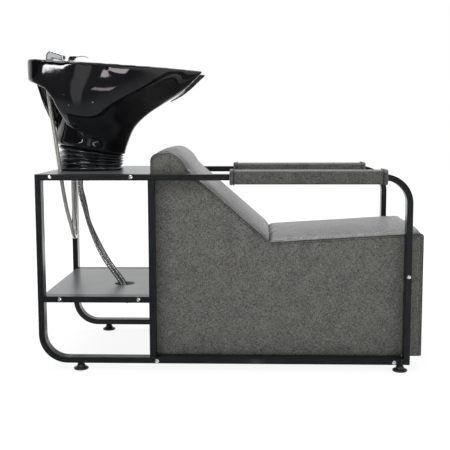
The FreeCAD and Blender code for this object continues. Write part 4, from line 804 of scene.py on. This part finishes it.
def piping(name, lines, radius, finish):
    # round cords along the given lines, as one mesh
    curve = bpy.data.curves.new(name, "CURVE")
    curve.dimensions = "3D"
    curve.bevel_depth = radius
    curve.bevel_resolution = 1
    curve.use_fill_caps = True
    for line in lines:
        spline = curve.splines.new("POLY")
        spline.points.add(len(line) - 1)
        for spot, point in zip(spline.points, line):
            spot.co = (*point, 1)
    piece = bpy.data.objects.new(name, curve)
    scene.collection.objects.link(piece)
    pick(piece)
    bpy.ops.object.convert(target="MESH")
    piece = bpy.context.object
    smoothShade(piece)
    dress(piece, "leatherette", finish)
    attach(piece, "frame")
    return piece


def stitches(line, length, pitch):
    # short straight stitches at even steps along the line
    found = []
    carry = pitch
    for first, last in zip(line, line[1:]):
        size = (last - first).length
        if size == 0:
            continue
        way = (last - first) / size
        while carry + length < size:
            found.append([first + way * carry, first + way * (carry + length)])
            carry += pitch
        carry = max(0.0, carry - size)
    return found


def sleeveRing(spots, x, shape):
    # a closed line round the sleeve at x, on the outermost points in each direction
    near = [spot for spot in spots if abs(spot.x - x) < shape["slice"]]
    middleY = (min(spot.y for spot in near) + max(spot.y for spot in near)) / 2
    middleZ = (min(spot.z for spot in near) + max(spot.z for spot in near)) / 2
    arms = [Vector((0, spot.y - middleY, spot.z - middleZ)) for spot in near]
    ring = []
    for step in range(shape["steps"] + 1):
        angle = math.tau * step / shape["steps"]
        way = Vector((0, math.cos(angle), math.sin(angle)))
        reach = max((arm.dot(way) for arm in arms if arm.normalized().dot(way) > shape["cone"]),
                    default=shape["least"])
        ring.append(Vector((x, middleY, middleZ)) + way * reach)
    return ring


seamLines = []
stitchLines = []
for panelPiece in sidePanels:
    face = max(abs(vertex.co.y) for vertex in panelPiece.data.vertices) * 1000
    face *= math.copysign(1, panelPiece.data.vertices[0].co.y)
    welt, stitchWay = [[place(x, face, z) for x, z in insetLine(sideLine, seamShape[inset])]
                       for inset in ("weltInset", "stitchInset")]
    seamLines.append(welt)
    stitchLines += stitches(stitchWay, seamShape["stitchLength"], seamShape["pitch"])
for sleeve in armSleeves:
    spots = [vertex.co for vertex in sleeve.data.vertices]
    rearX, frontX = min(spot.x for spot in spots), max(spot.x for spot in spots)
    for x in (rearX + sleeveSeam["inset"], frontX - sleeveSeam["inset"]):
        seamLines.append(sleeveRing(spots, x, sleeveSeam))
print("seams", len(seamLines), "stitches", len(stitchLines))
piping("coverSeams", seamLines, seamShape["welt"], "seam")
piping("coverStitches", stitchLines, seamShape["stitch"], "seam")
print("upholstery done")


# tap, hand shower and its holder

soften("mixer_body", "tapBody", "chrome_steel", 0.0012)
# the lever's chrome is painted dark: a painted dark reflection
soften("mixer_lever", "tapLever", "chrome_steel", 0.0012, finish="dark_chrome")
handShower = soften("handset", "handShower", "chrome_steel", 0.0012)


# the hand shower's dark outline is painted: a painted dark reflection
darkOutlineShape = {"border": 0.0012, "width": 0.0028, "flat": 0.995, "leastArea": 0.0003}


def paintDarkOutline(piece, shape):
    # a painted dark line just inside the outline of each flat side: a painted dark reflection along
    # the chrome's edges
    piece.data.materials.append(finishes["dark_chrome"].material)
    for sign in (-1, 1):
        pick(piece)
        bpy.ops.object.mode_set(mode="EDIT")
        bpy.ops.mesh.select_all(action="DESELECT")
        bpy.ops.object.mode_set(mode="OBJECT")
        for face in piece.data.polygons:
            face.select = (face.normal.y * sign > shape["flat"]
                           and face.area > shape["leastArea"])
        bpy.ops.object.mode_set(mode="EDIT")
        bpy.ops.mesh.inset(thickness=shape["border"], depth=0)
        bpy.ops.mesh.inset(thickness=shape["width"], depth=0)
        bpy.ops.mesh.select_more()
        bpy.context.object.active_material_index = 1
        bpy.ops.object.material_slot_assign()
        bpy.ops.mesh.select_less()
        bpy.context.object.active_material_index = 0
        bpy.ops.object.material_slot_assign()
        bpy.ops.object.mode_set(mode="OBJECT")


paintDarkOutline(handShower, darkOutlineShape)
soften("handset_holder", "handsetSocket", "chrome_steel", 0.0008)
print("tap done")


# floor, backdrop and light: places in metres, and each range is where a tone fades in

groundShape = {
    "size": 24, "drop": 0.0002, "shade": (0.9, 0.9, 0.9),
    # for glossy rays the floor glows in these tones: a painted reflection whose strip, patches,
    # window and dots make painted highlights on the glaze
    "near": (0.46, 0.47, 0.48, 1), "far": (0.15, 0.155, 0.17, 1), "fade": (0.7, 1.6),
    "strip": {"from": (-0.47, 0.235), "ratio": (-0.19, 0.03), "soft": 0.02,
              "away": (0.9, 1.5), "light": (0.85, 0.86, 0.85, 1)},
    "patchSoft": (0.02, 0.04), "patches": [
        {"at": (0.33, -2.6), "way": (0.39, 0.92), "half": 0.26, "lean": (1.6, 0.9),
         "from": -0.6, "to": 0.55, "light": (7.5, 6.6, 6.9, 1)},
        {"at": (0.02, -1.75), "way": (0.36, 0.93), "half": 0.045, "lean": (0.0, 0.0),
         "from": -0.42, "to": 0.42, "light": (4.5, 3.9, 4.3, 1)}],
    "window": {"x": (-6.3, -2.6, 0.1), "away": (7.8, 9.6, 0.15), "light": (24, 24, 24, 1)},
    "dotSize": (0.009, 0.018), "dotLight": (14, 14, 13.5, 1),
    "dots": [(0.19, -0.5), (0.11, -0.39), (-0.17, -1.06), (-0.81, -1.01), (-1.13, -2.01)],
    "back": {"y": (-0.36, -0.3), "x": (0.55, 0.9), "light": (1.0, 1.0, 1.0, 1)},
    "wall": {"y": (0.5, 1.2), "light": (2.2, 2.2, 2.2, 1)},
    "white": {"strength": 1.08, "more": 0.14, "reach": (0.9, 2.0), "share": 0.84},
}


def whiteGround(shape):
    # white to the camera with a faint shadow; for glossy rays the floor glows with a painted
    # reflection of a room in front:
    # darker further away, with a lit strip, two window patches, a far window and lamp dots, painted
    # to put highlights on the glaze
    look = Finish("whiteGround", shape["shade"], 0.9)
    x, y = look.parts(look.add("ShaderNodeTexCoord", output="Object"))[:2]
    away = y * -1.0
    tone = look.mixed(look.between(away, *shape["fade"]), shape["near"], shape["far"])
    strip = shape["strip"]
    ratio = (x - strip["from"][0]) / (away - strip["from"][1])
    mask = look.inside(ratio, *strip["ratio"], strip["soft"]) * look.between(away, *strip["away"])
    tone = look.mixed(mask, tone, strip["light"])
    sideSoft, endSoft = shape["patchSoft"]
    for patch in shape["patches"]:
        (atX, atY), (wayX, wayY), lean = patch["at"], patch["way"], patch["lean"]
        u = (x - atX) * wayX + (y - atY) * wayY
        v = (x - atX) * wayY - (y - atY) * wayX
        mask = look.inside(v, -patch["half"], patch["half"], sideSoft)
        start, end = patch["from"], patch["to"]
        mask = mask * look.between(u + v * lean[0], start - endSoft, start + endSoft)
        mask = mask * (1 - look.between(u + v * lean[1], end - endSoft, end + endSoft))
        tone = look.mixed(mask, tone, patch["light"])
    window = shape["window"]
    mask = look.inside(x, *window["x"]) * look.inside(away, *window["away"])
    tone = look.mixed(mask, tone, window["light"])
    for dotX, dotY in shape["dots"]:
        gap = ((x - dotX) ** 2.0 + (y - dotY) ** 2.0) ** 0.5
        tone = look.mixed(1 - look.between(gap, *shape["dotSize"]), tone, shape["dotLight"])
    back, wall, white = shape["back"], shape["wall"], shape["white"]
    mask = look.between(y, *back["y"]).maths("MAXIMUM", look.between(x, *back["x"]))
    tone = look.mixed(mask, tone, back["light"])
    tone = look.mixed(look.between(y, *wall["y"]), tone, wall["light"])
    reach = (x ** 2.0 + y ** 2.0) ** 0.5
    plain = look.add("ShaderNodeEmission", {}, {
        "Color": (1, 1, 1, 1),
        "Strength": white["strength"] + white["more"] * look.between(reach, *white["reach"])})
    paintedReflection = look.add("ShaderNodeEmission", {}, {"Color": tone, "Strength": 1.0})
    seen = look.add("ShaderNodeMixShader", {}, {
        0: look.ray("Is Camera Ray") * white["share"],
        1: Wire(look, look.shader.outputs[0]), 2: plain})
    seen = look.add("ShaderNodeMixShader", {}, {0: look.ray("Is Glossy Ray"), 1: seen, 2: paintedReflection})
    look.feed(look.tree.nodes["Material Output"].inputs["Surface"], seen)
    return look


bpy.ops.mesh.primitive_plane_add(size=groundShape["size"], location=(0, 0, -groundShape["drop"]))
floor = bpy.context.object
floor.name = "studioFloor"
floor.data.materials.append(whiteGround(groundShape).material)

# the room that reflections see, by the direction of sight
roomShape = {
    "behind": {"y": (0.36, 0.44), "light": 1.15},
    "beside": {"y": (-0.12, 0.25), "x": (0.72, 0.9)},
    "above": {"z": (0.3, 0.75), "light": 0.45},
    "front": {"x": (-0.34, 0.3, 0.05), "z": (0.03, 0.55, 0.02), "y": (-0.8, -0.6),
              "light": 0.62},
    "dark": 0.022, "dome": 0.5, "white": 1.0,
}


def studioWorld(room):
    # an even dome for the light, white behind for the camera, and for reflections a dark
    # room in front
    world = bpy.data.worlds.new("studioWorld")
    world.use_nodes = True
    world.node_tree.nodes.clear()
    sky = Board(world.node_tree)

    def glow(strength):
        return sky.add("ShaderNodeBackground", {}, {"Color": (1, 1, 1, 1), "Strength": strength})

    x, y, z = sky.parts(sky.add("ShaderNodeTexCoord", output="Generated"))
    front = room["front"]
    tone = sky.between(y, *room["behind"]["y"]) * room["behind"]["light"]
    for other in (
            sky.between(y, *room["beside"]["y"]), sky.between(x, *room["beside"]["x"]),
            sky.between(z, *room["above"]["z"]) * room["above"]["light"],
            sky.inside(x, *front["x"]) * sky.inside(z, *front["z"])
            * (1 - sky.between(y, *front["y"])) * front["light"]):
        tone = tone.maths("MAXIMUM", other)
    mixed = sky.add("ShaderNodeMixShader", {}, {
        0: sky.ray("Is Camera Ray"), 1: glow(room["dome"]), 2: glow(room["white"])})
    mixed = sky.add("ShaderNodeMixShader", {}, {
        0: sky.ray("Is Glossy Ray"), 1: mixed, 2: glow(tone + room["dark"])})
    out = sky.tree.nodes.new("ShaderNodeOutputWorld")
    sky.feed(out.inputs["Surface"], mixed)
    return world


scene.world = studioWorld(roomShape)

lampAim = (0, 0, 0.55)
lamps = {
    "keyLamp": {"at": (-1.4, -2.2, 2.6), "size": (1.2, 0.8), "power": 32},
    "fillLamp": {"at": (2.2, -2.0, 1.9), "size": (1.2, 1.2), "power": 11},
    "topLamp": {"at": (0.0, 0.3, 3.0), "size": (2.2, 1.4), "power": 48},
}
for name, lamp in lamps.items():
    light = bpy.data.lights.new(name, "AREA")
    light.shape = "RECTANGLE"
    light.size, light.size_y = lamp["size"]
    light.energy = lamp["power"]
    holder = bpy.data.objects.new(name, light)
    holder.location = lamp["at"]
    aim = Vector(lampAim) - Vector(lamp["at"])
    holder.rotation_euler = aim.to_track_quat("-Z", "Y").to_euler()
    scene.collection.objects.link(holder)
print("floor, room and lamps set")

scene.view_settings.view_transform = "Standard"
